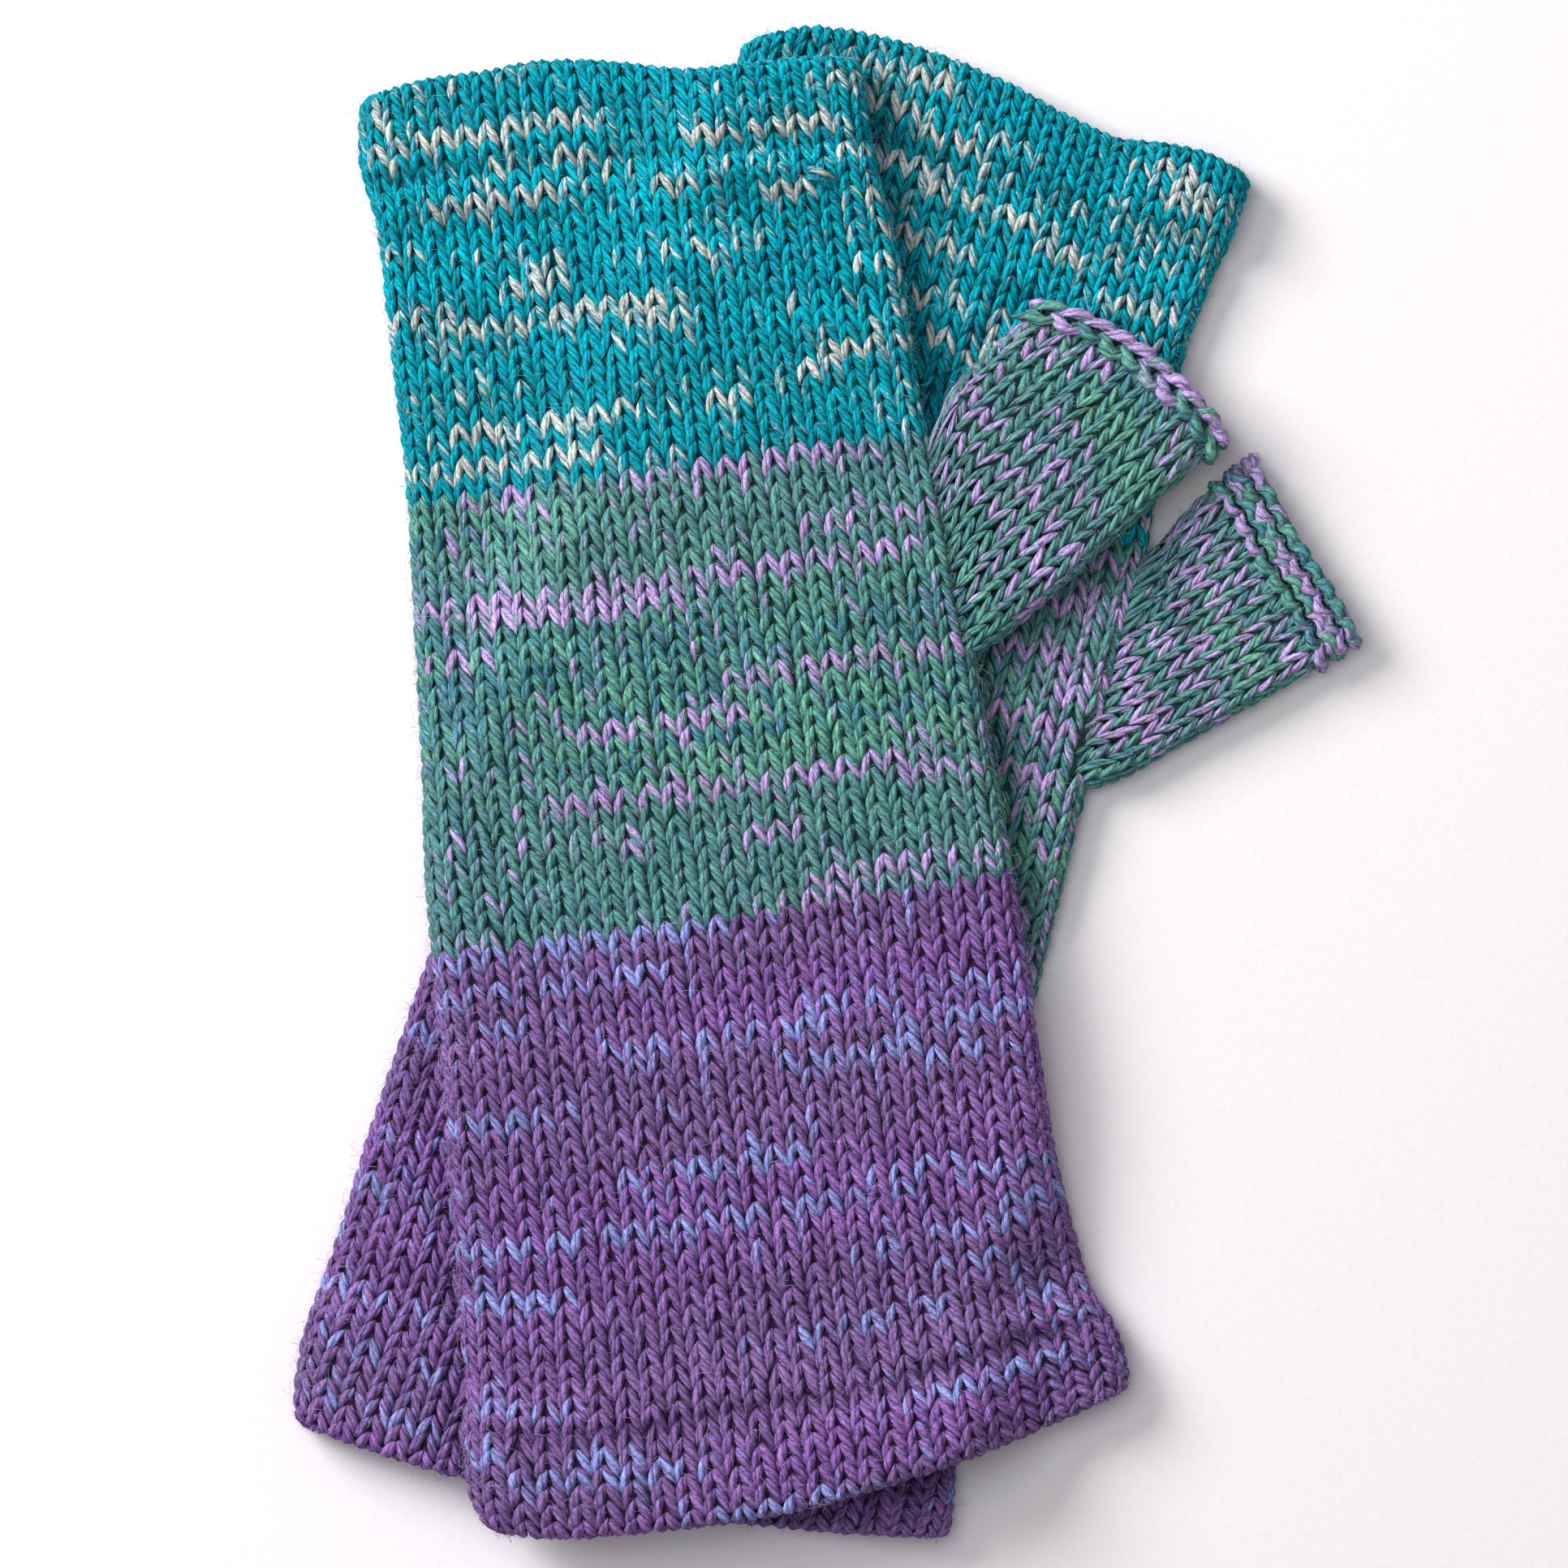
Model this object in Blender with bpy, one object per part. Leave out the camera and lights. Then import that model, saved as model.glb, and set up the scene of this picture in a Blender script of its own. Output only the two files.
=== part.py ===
"""A pair of knitted fingerless mittens, laid flat with the upper one crossed on the lower.

Each mitten is a flattened tube of stockinette cloth in three stripes, knitted one after the
other: a teal top, a green palm and a purple cuff. Both ends of the tube are turned in as a hem.
A short thumb, open at its tip, leaves a slot in the right-hand side fold of the palm, and a
cast-off roll finishes its tip. The cloth is a real wall all round, with a thin hollow in it.

A mitten is worked out in its own frame, in millimetres: across to the right, along from the cuff
to the fingers, and level above whatever the cloth lies on. The upper mitten is then laid over the
lower one, and falls to the table beside it.
"""

from collections import namedtuple
from math import cos, pi, radians, sin

import bmesh
import bpy
import numpy as np

MM = 0.001

# Cloth
WALL = 2.0
THUMB_WALL = 1.8
SEAM_GAP = 0.3
HEM_SLIT = 0.3
HEM_DEPTH = 18.0

# Thickness of a flattened mitten, outside to outside
BODY_HEIGHT = 6.8
HEM_HEIGHT = 9.6
HEM_FADE = 10.0
THUMB_SWELL = 0.8
THUMB_SWELL_REACH = 34.0

# Rows of stitches bend with the two edges, and run straight again this far from them
CUFF_BEND_REACH = 45.0
TOP_BEND_REACH = 25.0

# The upper mitten over the lower one
LAY_CLEARANCE = 0.6
DRAPE_REACH = 18.0
BRIDGED = 7.0

# The slot in the side fold that the thumb leaves, as half its angle round the fold
SLOT_ANGLE = radians(61)

# Points round a flattened tube: inside each flat side, and round each side fold
HAND_FLAT_POINTS = 12
HAND_FOLD_STEPS = 6
THUMB_FLAT_POINTS = 5
THUMB_FOLD_STEPS = 6
THUMB_SHARES = (0.0, 0.12, 0.22, 0.35, 0.5, 0.68, 0.84, 1.0)
LIP_STEPS = 4
SHARP_ANGLE = radians(50)

# Rows of stitches at which the wall is shaped: in plain cloth, and at these distances from a hem
PLAIN_STEP = 9.0
OUTER_HEM_ROWS = (32, 28, 24, 20, 15, 10, 5)
INNER_HEM_ROWS = (22, 26, 30, 38)

# The outline of the hand below, as points along each side and across each end
OUTLINE_ROWS = 27
OUTLINE_COLUMNS = 12

Side = namedtuple("Side", "along left right")
Edge = namedtuple("Edge", "across shift")
Fold = namedtuple("Fold", "across along reach_across reach_along rise")
Thumb = namedtuple("Thumb", "share far_across far_along near_across near_along lift height bow")
Wool = namedtuple("Wool", "red green blue roughness")
Mitten = namedtuple(
    "Mitten",
    "name foot turn length palm_start palm_end slot_start slot_end "
    "sides cuff_edge top_edge folds thumb thumb_lean roll lies_on",
)

WOOLS = {
    "wool_teal": Wool(0.012, 0.300, 0.355, 0.92),
    "wool_green": Wool(0.060, 0.215, 0.190, 0.92),
    "wool_purple": Wool(0.165, 0.085, 0.275, 0.92),
    "wool_lilac": Wool(0.300, 0.235, 0.520, 0.92),
}

# Sides of the flattened hand, from the cuff to the fingers
UPPER_SIDES = (
    Side(0, -56.0, 57.0),
    Side(6, -57.8, 57.2),
    Side(16, -57.7, 55.8),
    Side(24, -56.3, 52.9),
    Side(34, -55.5, 51.6),
    Side(50, -54.7, 50.1),
    Side(66, -53.8, 49.7),
    Side(90, -52.1, 49.5),
    Side(114, -51.2, 48.9),
    Side(134, -49.4, 48.1),
    Side(152, -47.8, 47.7),
    Side(170, -46.3, 47.0),
    Side(184, -45.2, 44.9),
    Side(200, -44.8, 44.6),
    Side(216, -44.4, 44.3),
    Side(232, -44.2, 42.6),
    Side(242, -45.4, 42.5),
    Side(254, -44.0, 42.6),
)
LOWER_SIDES = (
    Side(0, -57.5, 56.6),
    Side(6, -59.0, 56.2),
    Side(16, -60.0, 54.6),
    Side(24, -59.5, 52.4),
    Side(34, -58.9, 50.5),
    Side(50, -58.5, 49.0),
    Side(66, -57.6, 47.8),
    Side(90, -56.0, 46.9),
    Side(114, -54.0, 46.3),
    Side(134, -52.3, 45.7),
    Side(152, -50.0, 45.5),
    Side(170, -48.5, 45.0),
    Side(184, -47.3, 44.7),
    Side(200, -46.2, 43.2),
    Side(216, -45.2, 42.1),
    Side(232, -44.5, 42.7),
    Side(246, -45.6, 44.6),
    Side(259, -45.4, 45.2),
)

# How far each end of the tube is pushed towards the fingers at the cuff, or back at the top
UPPER_CUFF_EDGE = (
    Edge(-56, 4.2),
    Edge(-46, 1.5),
    Edge(-32, 0.4),
    Edge(-14, 0.0),
    Edge(0, 0.6),
    Edge(14, 2.6),
    Edge(28, 5.2),
    Edge(42, 8.4),
    Edge(56, 12.6),
)
LOWER_CUFF_EDGE = (
    Edge(-56, 1.4),
    Edge(-40, 0.2),
    Edge(-20, 0.0),
    Edge(0, 2.0),
    Edge(14, 3.8),
    Edge(28, 6.2),
    Edge(42, 8.8),
    Edge(56, 12.0),
)
UPPER_TOP_EDGE = (
    Edge(-44, 3.6),
    Edge(-34, 0.9),
    Edge(-22, 0.5),
    Edge(-13, 0.0),
    Edge(0, 1.8),
    Edge(14, 5.3),
    Edge(24, 5.8),
    Edge(35, 6.3),
    Edge(43, 7.8),
)
LOWER_TOP_EDGE = (
    Edge(-45, 6.4),
    Edge(-36, 1.6),
    Edge(-26, 0.0),
    Edge(-14, 0.0),
    Edge(0, 1.7),
    Edge(14, 4.9),
    Edge(21, 5.9),
    Edge(28, 4.9),
    Edge(36, 4.3),
    Edge(45, 6.4),
)

# Soft folds of the upper cloth: the middle of each, how far it reaches, and how high it stands
UPPER_FOLDS = (
    Fold(42, 13, 20, 10, 1.5),
    Fold(34, 30, 26, 5, -0.6),
    Fold(-34, 12, 22, 8, 0.5),
    Fold(-16, 241, 26, 8, 0.6),
    Fold(12, 246, 8, 12, -0.7),
    Fold(41, 222, 4, 24, 0.8),
)
LOWER_FOLDS = (
    Fold(-48, 13, 12, 9, 0.8),
    Fold(32, 247, 13, 9, 0.9),
    Fold(20, 250, 5, 10, -0.6),
)

# Sections along the thumb: its edge towards the fingers, its edge towards the wrist, how far its
# underside is off what it lies on, its thickness, and how far its middle bows outwards
UPPER_THUMB = (
    Thumb(0.00, 44.4, 178.4, 46.8, 141.3, 1.5, 4.6, 0.0),
    Thumb(0.12, 49.0, 186.2, 51.0, 143.2, 0.7, 6.2, 0.3),
    Thumb(0.35, 55.8, 192.4, 60.8, 149.2, 0.0, 7.0, 1.5),
    Thumb(0.68, 60.8, 195.8, 75.8, 159.3, 0.0, 7.2, 3.4),
    Thumb(1.00, 64.7, 198.4, 90.8, 169.6, 0.0, 7.2, 5.4),
)
LOWER_THUMB = (
    Thumb(0.00, 43.5, 183.4, 44.6, 142.9, 1.5, 4.6, 0.0),
    Thumb(0.12, 47.0, 188.4, 49.4, 145.4, 0.7, 6.2, 0.2),
    Thumb(0.35, 48.4, 191.8, 58.6, 154.2, 0.0, 7.0, 0.8),
    Thumb(0.68, 49.8, 194.4, 68.8, 164.2, 0.0, 7.2, 1.4),
    Thumb(1.00, 51.0, 196.7, 78.5, 173.9, 0.0, 7.2, 2.0),
)

# Profile of the cast-off roll, as distances beyond the thumb's end and into its wall
SINGLE_ROLL = (
    (0.3, 0.2),
    (0.9, -0.5),
    (1.9, -0.7),
    (2.9, -0.3),
    (3.3, 0.9),
    (2.6, 2.0),
    (0.3, 1.8),
)
DOUBLE_ROLL = (
    (0.3, 0.2),
    (1.2, -0.6),
    (2.6, -0.6),
    (3.8, 0.1),
    (5.0, -0.6),
    (6.4, -0.6),
    (7.4, 0.4),
    (7.2, 1.5),
    (3.8, 1.9),
    (0.3, 1.8),
)

# Middle of the pair, so that it stands over the origin
PAIR_MIDDLE = (6.707, 0.324)

LOWER = Mitten(
    name="lower",
    foot=(-29.5, -127.0),
    turn=radians(-15.3),
    length=259.0,
    palm_start=105.0,
    palm_end=187.0,
    slot_start=141.7,
    slot_end=185.5,
    sides=LOWER_SIDES,
    cuff_edge=LOWER_CUFF_EDGE,
    top_edge=LOWER_TOP_EDGE,
    folds=LOWER_FOLDS,
    thumb=LOWER_THUMB,
    thumb_lean=radians(39.6),
    roll=DOUBLE_ROLL,
    lies_on=None,
)
UPPER = Mitten(
    name="upper",
    foot=(4.9, -125.1),
    turn=radians(7.9),
    length=254.0,
    palm_start=103.6,
    palm_end=182.0,
    slot_start=140.0,
    slot_end=180.4,
    sides=UPPER_SIDES,
    cuff_edge=UPPER_CUFF_EDGE,
    top_edge=UPPER_TOP_EDGE,
    folds=UPPER_FOLDS,
    thumb=UPPER_THUMB,
    thumb_lean=radians(55.1),
    roll=SINGLE_ROLL,
    lies_on=LOWER,
)


def clear_scene():
    for thing in list(bpy.data.objects):
        bpy.data.objects.remove(thing)


def fade(x):
    """1 at 0 and below, 0 at 1 and above, and smooth between."""
    x = np.clip(x, 0.0, 1.0)
    return 1 - x * x * (3 - 2 * x)


def curve(at, table, over, column):
    """A smooth curve through one column of a table, read at other values of its first column.

    Each span is a cubic whose slope at a row is that of the line between the row's neighbours.
    """
    xs = np.array([getattr(row, over) for row in table], float)
    ys = np.array([getattr(row, column) for row in table], float)
    slopes = np.gradient(ys, xs)
    at = np.clip(np.asarray(at, float), xs[0], xs[-1])
    span = np.clip(np.searchsorted(xs, at) - 1, 0, len(xs) - 2)
    width = xs[span + 1] - xs[span]
    t = (at - xs[span]) / width
    start = ys[span] + slopes[span] * width * t * (1 - t) ** 2 - ys[span] * t * t * (3 - 2 * t)
    end = ys[span + 1] * t * t * (3 - 2 * t) - slopes[span + 1] * width * t * t * (1 - t)
    return start + end


def side(mitten, course, column):
    return curve(course, mitten.sides, "along", column)


def height(mitten, course):
    """Thickness of the flattened hand: thicker at both hems, and a little beside the thumb."""
    at_cuff = fade((course - HEM_DEPTH - 1) / HEM_FADE)
    at_top = fade((mitten.length - course - HEM_DEPTH - 1) / HEM_FADE)
    middle = (mitten.slot_start + mitten.slot_end) / 2
    beside = fade(np.abs(course - middle) / THUMB_SWELL_REACH)
    hem = (HEM_HEIGHT - BODY_HEIGHT) * np.maximum(at_cuff, at_top)
    return BODY_HEIGHT + hem + THUMB_SWELL * beside


def relief(mitten, across, course, level):
    """How far the folds lift a point: fully on the upper cloth, and not at all on the underside."""
    rise = 0.0
    for fold in mitten.folds:
        over = (across - fold.across) / fold.reach_across
        along = (course - fold.along) / fold.reach_along
        rise = rise + fold.rise * np.exp(-over * over - along * along)
    return rise * (1 - fade(level / BODY_HEIGHT))


def bend(mitten, across, course):
    """How far a row of stitches lies above its own height at this point."""
    cuff = curve(across, mitten.cuff_edge, "across", "shift")
    top = curve(across, mitten.top_edge, "across", "shift")
    cuff_share = np.exp(-course / CUFF_BEND_REACH)
    top_share = np.exp(-(mitten.length - course) / TOP_BEND_REACH)
    return cuff * cuff_share - top * top_share


def course_at(mitten, across, along):
    """The row of stitches that passes through a point, found by a few corrections."""
    course = along
    for _ in range(5):
        course = along - bend(mitten, across, course)
    return course


def to_pair(mitten, across, along):
    """A mitten's own plan as places in the pair's plan."""
    c, s = cos(mitten.turn), sin(mitten.turn)
    x, y = mitten.foot
    return x + c * across - s * along, y + s * across + c * along


def to_mitten(mitten, x, y):
    c, s = cos(mitten.turn), sin(mitten.turn)
    dx, dy = x - mitten.foot[0], y - mitten.foot[1]
    return c * dx + s * dy, c * dy - s * dx


def hand_outline(mitten):
    """The flattened hand's outline in the mitten's plan."""
    courses = np.linspace(0, mitten.length, OUTLINE_ROWS)
    left = side(mitten, courses, "left")
    right = side(mitten, courses, "right")
    top = np.linspace(right[-1], left[-1], OUTLINE_COLUMNS)
    cuff = np.linspace(left[0], right[0], OUTLINE_COLUMNS)
    across = np.concatenate([right, top[1:-1], left[::-1], cuff[1:-1]])
    ends = np.full(OUTLINE_COLUMNS - 2, mitten.length), np.zeros(OUTLINE_COLUMNS - 2)
    course = np.concatenate([courses, ends[0], courses[::-1], ends[1]])
    return np.stack([across, course + bend(mitten, across, course)], 1)


def thumb_outline(mitten):
    far = [(row.far_across, row.far_along) for row in mitten.thumb]
    near = [(row.near_across, row.near_along) for row in mitten.thumb]
    reach = max(out for out, _ in mitten.roll)
    dx, dy = sin(mitten.thumb_lean) * reach, cos(mitten.thumb_lean) * reach
    far.append((far[-1][0] + dx, far[-1][1] + dy))
    near.append((near[-1][0] + dx, near[-1][1] + dy))
    return np.array(near + far[::-1])


def beyond(x, y, outline):
    """Distance outside a closed outline, and 0 inside it."""
    start, end = outline, np.roll(outline, -1, axis=0)
    step = end - start
    point = np.stack([x, y], -1)[..., None, :]
    share = ((point - start) * step).sum(-1) / (step * step).sum(-1)
    nearest = start + np.clip(share, 0, 1)[..., None] * step
    distance = np.sqrt(((point - nearest) ** 2).sum(-1)).min(-1)
    crosses = (start[:, 1] > y[..., None]) != (end[:, 1] > y[..., None])
    level = np.where(np.abs(step[:, 1]) < 1e-9, 1e-9, step[:, 1])
    at = start[:, 0] + (y[..., None] - start[:, 1]) / level * step[:, 0]
    inside = (crosses & (x[..., None] < at)).sum(-1) % 2 == 1
    return np.where(inside, 0.0, distance)


def bed_height(mitten, x, y):
    """Height of what the mitten lies on: the lower mitten, or the table, with a soft fall between."""
    if mitten.lies_on is None:
        return np.zeros(np.shape(x))
    below = mitten.lies_on
    across, along = to_mitten(below, x, y)
    course = course_at(below, across, along)
    hand = np.max([height(below, course + step) for step in (-BRIDGED, 0, BRIDGED)], axis=0)
    thumb = max(row.height for row in below.thumb)
    over_hand = fade(beyond(across, along, hand_outline(below)) / DRAPE_REACH)
    over_thumb = fade(beyond(across, along, thumb_outline(below)) / DRAPE_REACH)
    return np.maximum((hand + LAY_CLEARANCE) * over_hand, (thumb + LAY_CLEARANCE) * over_thumb)


def round_points(flat_points, fold_steps):
    """One turn round a flattened tube, as the place on its flat side and the angle of its surface.

    It runs along the underside to the right, round the right fold, back over the top and round
    the left fold.
    """
    flat = np.linspace(-1, 1, flat_points + 2)[1:-1]
    fold = np.linspace(-pi / 2, pi / 2, fold_steps + 1)
    place = np.concatenate([flat, np.ones(len(fold)), -flat, -np.ones(len(fold))])
    angle = np.concatenate(
        [np.full(len(flat), -pi / 2), fold, np.full(len(flat), pi / 2), fold + pi]
    )
    return place, angle


def hand_ring(mitten, course, inset):
    """The loop of points round the hand at one row of stitches, inset into the cloth."""
    place, angle = round_points(HAND_FLAT_POINTS, HAND_FOLD_STEPS)
    left, right = side(mitten, course, "left"), side(mitten, course, "right")
    fold = height(mitten, course) / 2
    across = (left + right) / 2 + place * ((right - left) / 2 - fold) + np.cos(angle) * (fold - inset)
    along = course + bend(mitten, across, course)
    level = fold + np.sin(angle) * (fold - inset)
    level = level + relief(mitten, across, course, level)
    return on_bed(mitten, across, along, level)


def thumb_ring(mitten, share, inset, out=0.0):
    """The loop round the thumb at a share of its length, moved out along it by a distance."""
    value = {name: curve(share, mitten.thumb, "share", name) for name in Thumb._fields}
    far = np.array([value["far_across"], value["far_along"]])
    near = np.array([value["near_across"], value["near_along"]])
    axis = np.array([sin(mitten.thumb_lean), cos(mitten.thumb_lean)])
    place, angle = round_points(THUMB_FLAT_POINTS, THUMB_FOLD_STEPS)
    fold = value["height"] / 2
    half = np.linalg.norm(near - far) / 2
    over = place * (half - fold) + np.cos(angle) * (fold - inset)
    push = value["bow"] * (1 - (over / half) ** 2) + out
    plan = (far + near) / 2 + np.outer(over, (near - far) / (2 * half)) + np.outer(push, axis)
    level = value["lift"] + fold + np.sin(angle) * (fold - inset)
    return on_bed(mitten, plan[:, 0], plan[:, 1], level)


def on_bed(mitten, across, along, level):
    """Points of the mitten, lifted by what it lies on, and pressed flat where they meet it."""
    x, y = to_pair(mitten, across, along)
    return np.stack([across, along, np.maximum(level, 0) + bed_height(mitten, x, y)], 1)


def plain_rows(start, end):
    """Rows of stitches at which a plain stretch of cloth is shaped, with both its ends."""
    return list(np.linspace(start, end, round(abs(end - start) / PLAIN_STEP) + 1))


def hem_profile(edge, inwards):
    """The wall turned in at one end, from its outer face round to its inner face.

    edge is where the end lies, and inwards is 1 at the cuff and -1 at the top.
    """
    folded = 2 * WALL + HEM_SLIT
    radius = folded / 2
    angles = np.linspace(0, pi, LIP_STEPS + 1)
    lip = [(edge + inwards * (radius - radius * sin(a)), radius - radius * cos(a)) for a in angles]
    turned = edge + inwards * HEM_DEPTH
    middle = edge + inwards * HEM_DEPTH / 2
    crease = edge + inwards * radius
    back = WALL + HEM_SLIT
    return lip + [
        (middle, folded),
        (turned, folded),
        (turned, back),
        (middle, back),
        (crease, back),
        (crease - inwards * HEM_SLIT / 2, WALL + HEM_SLIT / 2),
        (crease, WALL),
        (middle, WALL),
        (turned, WALL),
    ]


def stripe_profile(seam, edge, inwards):
    """Closed profile of a stripe from its seam to its hem, as rows and depths into the cloth."""
    outer = [edge + inwards * c for c in OUTER_HEM_ROWS]
    outer = plain_rows(seam, outer[0])[:-1] + outer
    inner = [edge + inwards * c for c in INNER_HEM_ROWS]
    inner = inner[:-1] + plain_rows(inner[-1], seam)
    return [(c, 0.0) for c in outer] + hem_profile(edge, inwards) + [(c, WALL) for c in inner]


def palm_courses(mitten):
    start = mitten.palm_start + SEAM_GAP / 2
    end = mitten.palm_end - SEAM_GAP / 2
    below_slot = plain_rows(start, mitten.slot_start)[:-1]
    return below_slot + plain_rows(mitten.slot_start, mitten.slot_end) + [end]


def mesh_object(name, bm, wool, parent):
    """A named object of one wool, from points in millimetres in its mitten's frame."""
    bmesh.ops.recalc_face_normals(bm, faces=bm.faces)
    bmesh.ops.scale(bm, vec=(MM, MM, MM), verts=bm.verts)
    mesh = bpy.data.meshes.new(name)
    bm.to_mesh(mesh)
    bm.free()
    mesh.materials.append(wool_material(wool))
    mesh.shade_smooth()
    mesh.set_sharp_from_angle(angle=SHARP_ANGLE)
    thing = bpy.data.objects.new(name, mesh)
    bpy.context.scene.collection.objects.link(thing)
    thing.parent = parent
    return thing


def wool_material(name):
    if name in bpy.data.materials:
        return bpy.data.materials[name]
    wool = WOOLS[name]
    material = bpy.data.materials.new(name)
    material.use_nodes = True
    shader = material.node_tree.nodes["Principled BSDF"]
    shader.inputs["Base Color"].default_value = (wool.red, wool.green, wool.blue, 1)
    shader.inputs["Roughness"].default_value = wool.roughness
    shader.inputs["Metallic"].default_value = 0.0
    material.diffuse_color = (wool.red, wool.green, wool.blue, 1)
    return material


def closed_tube(bm, loops, missing=()):
    """Joins loops of points into a wall that closes on itself both ways, without the missing quads."""
    rings = [[bm.verts.new(point) for point in loop] for loop in loops]
    count = len(rings[0])
    for i, ring in enumerate(rings):
        following = rings[(i + 1) % len(rings)]
        for j in range(count):
            if (i, j) not in missing:
                k = (j + 1) % count
                bm.faces.new((ring[j], ring[k], following[k], following[j]))
    return rings


def slot_columns():
    """The points round the hand between which the right side fold is open."""
    place, angle = round_points(HAND_FLAT_POINTS, HAND_FOLD_STEPS)
    open_points = np.flatnonzero((place == 1) & (np.abs(angle) <= SLOT_ANGLE))
    return open_points[0], open_points[-1]


def make_palm(mitten, parent):
    """The green palm, with the thumb's slot cut through its side fold and walled all round."""
    courses = palm_courses(mitten)
    loops = [hand_ring(mitten, c, 0.0) for c in courses]
    loops += [hand_ring(mitten, c, WALL) for c in reversed(courses)]
    count = len(courses)
    first = courses.index(mitten.slot_start)
    last = courses.index(mitten.slot_end)
    low, high = slot_columns()
    outer = {(i, j) for i in range(first, last) for j in range(low, high)}
    inner = {(2 * count - 2 - i, j) for i, j in outer}
    bm = bmesh.new()
    rings = closed_tube(bm, loops, outer | inner)
    outside, inside = rings[:count], rings[:count - 1:-1]
    for i in (first, last):
        for j in range(low, high):
            bm.faces.new((outside[i][j], outside[i][j + 1], inside[i][j + 1], inside[i][j]))
    for j in (low, high):
        for i in range(first, last):
            bm.faces.new((outside[i][j], outside[i + 1][j], inside[i + 1][j], inside[i][j]))
    return mesh_object(f"{mitten.name}_green_palm", bm, "wool_green", parent)


def make_stripe(mitten, name, profile, wool, parent):
    """A stripe of the hand whose end is turned in as a hem."""
    bm = bmesh.new()
    closed_tube(bm, [hand_ring(mitten, course, inset) for course, inset in profile])
    return mesh_object(f"{mitten.name}_{name}", bm, wool, parent)


def make_thumb(mitten, parent):
    """The thumb, a short flattened tube that starts inside the slot and is open at its tip."""
    loops = [thumb_ring(mitten, share, 0.0) for share in THUMB_SHARES]
    loops += [thumb_ring(mitten, share, THUMB_WALL) for share in reversed(THUMB_SHARES)]
    bm = bmesh.new()
    closed_tube(bm, loops)
    return mesh_object(f"{mitten.name}_thumb", bm, "wool_green", parent)


def make_thumb_roll(mitten, parent):
    """The cast-off edge, a rolled ridge all round the thumb's open tip."""
    bm = bmesh.new()
    closed_tube(bm, [thumb_ring(mitten, 1.0, inset, out) for out, inset in mitten.roll])
    return mesh_object(f"{mitten.name}_thumb_roll", bm, "wool_lilac", parent)


def make_mitten(mitten):
    """One mitten's five pieces, carried by an empty at its foot that turns it into place."""
    x, y = mitten.foot
    frame = bpy.data.objects.new(f"{mitten.name}_mitten", None)
    bpy.context.scene.collection.objects.link(frame)
    frame.location = ((x - PAIR_MIDDLE[0]) * MM, (y - PAIR_MIDDLE[1]) * MM, 0)
    frame.rotation_euler = (0, 0, mitten.turn)
    cuff = stripe_profile(mitten.palm_start - SEAM_GAP / 2, 0.0, 1)
    top = stripe_profile(mitten.palm_end + SEAM_GAP / 2, mitten.length, -1)
    make_stripe(mitten, "purple_cuff", cuff, "wool_purple", frame)
    make_palm(mitten, frame)
    make_stripe(mitten, "teal_top", top, "wool_teal", frame)
    make_thumb(mitten, frame)
    make_thumb_roll(mitten, frame)


def main():
    clear_scene()
    make_mitten(LOWER)
    make_mitten(UPPER)
    bpy.context.view_layer.update()


main()
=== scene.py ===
# %% [markdown]
# # A pair of knitted fingerless mittens
#
# Two long mittens lie flat on pale paper, one crossed on the other. Each is a tube of plain
# knitting in three stripes: purple at the wrist, green round the palm and teal at the fingers.
# From a step away the eye sees columns of small arrowheads, and those are what this lesson builds.
# Every arrowhead is a stitch of two short lengths of yarn, and about nine thousand of them are
# bent onto the flattened tubes. The solid model gives the place and size of everything.

from functools import partial
from math import cos, pi, radians, sin
from types import SimpleNamespace

import bpy
import numpy as np
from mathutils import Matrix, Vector


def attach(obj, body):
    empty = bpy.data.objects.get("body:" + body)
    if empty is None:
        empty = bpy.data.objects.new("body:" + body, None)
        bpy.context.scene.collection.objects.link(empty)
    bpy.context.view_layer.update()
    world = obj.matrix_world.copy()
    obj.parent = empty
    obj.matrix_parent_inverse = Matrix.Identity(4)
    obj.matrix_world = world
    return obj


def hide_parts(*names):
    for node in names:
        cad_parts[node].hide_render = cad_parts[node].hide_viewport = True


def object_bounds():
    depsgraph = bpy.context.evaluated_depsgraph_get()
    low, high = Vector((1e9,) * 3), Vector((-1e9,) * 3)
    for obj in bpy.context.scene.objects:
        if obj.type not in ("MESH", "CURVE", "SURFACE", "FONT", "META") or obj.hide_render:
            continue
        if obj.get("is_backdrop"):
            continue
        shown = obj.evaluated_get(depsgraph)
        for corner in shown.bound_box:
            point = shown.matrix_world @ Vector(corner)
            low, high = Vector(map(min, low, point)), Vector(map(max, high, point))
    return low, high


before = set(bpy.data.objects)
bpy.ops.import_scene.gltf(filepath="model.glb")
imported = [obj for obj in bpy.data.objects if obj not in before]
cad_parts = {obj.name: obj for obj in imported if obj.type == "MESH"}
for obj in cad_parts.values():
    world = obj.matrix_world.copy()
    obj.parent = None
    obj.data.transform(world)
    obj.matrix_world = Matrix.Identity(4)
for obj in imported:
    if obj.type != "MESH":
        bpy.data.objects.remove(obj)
cad_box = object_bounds()
scene = bpy.context.scene
print("solids:", ", ".join(sorted(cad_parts)))

# %% [markdown]
# ## Paper, camera and light
#
# The photograph looks straight down on white paper through a long lens, so sizes hardly change
# with height. The light is a broad window at the upper left: it fills the knitting, and leaves a
# soft grey shadow to the right of each edge and below it.

# %% Camera
MM = 0.001
PAIR_MIDDLE = (6.707, 0.324)
VIEW_WIDTH = 270.5
CAMERA_HEIGHT = 2500.0
SENSOR = 36.0
VIEW_LEVEL = 8.0

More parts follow.
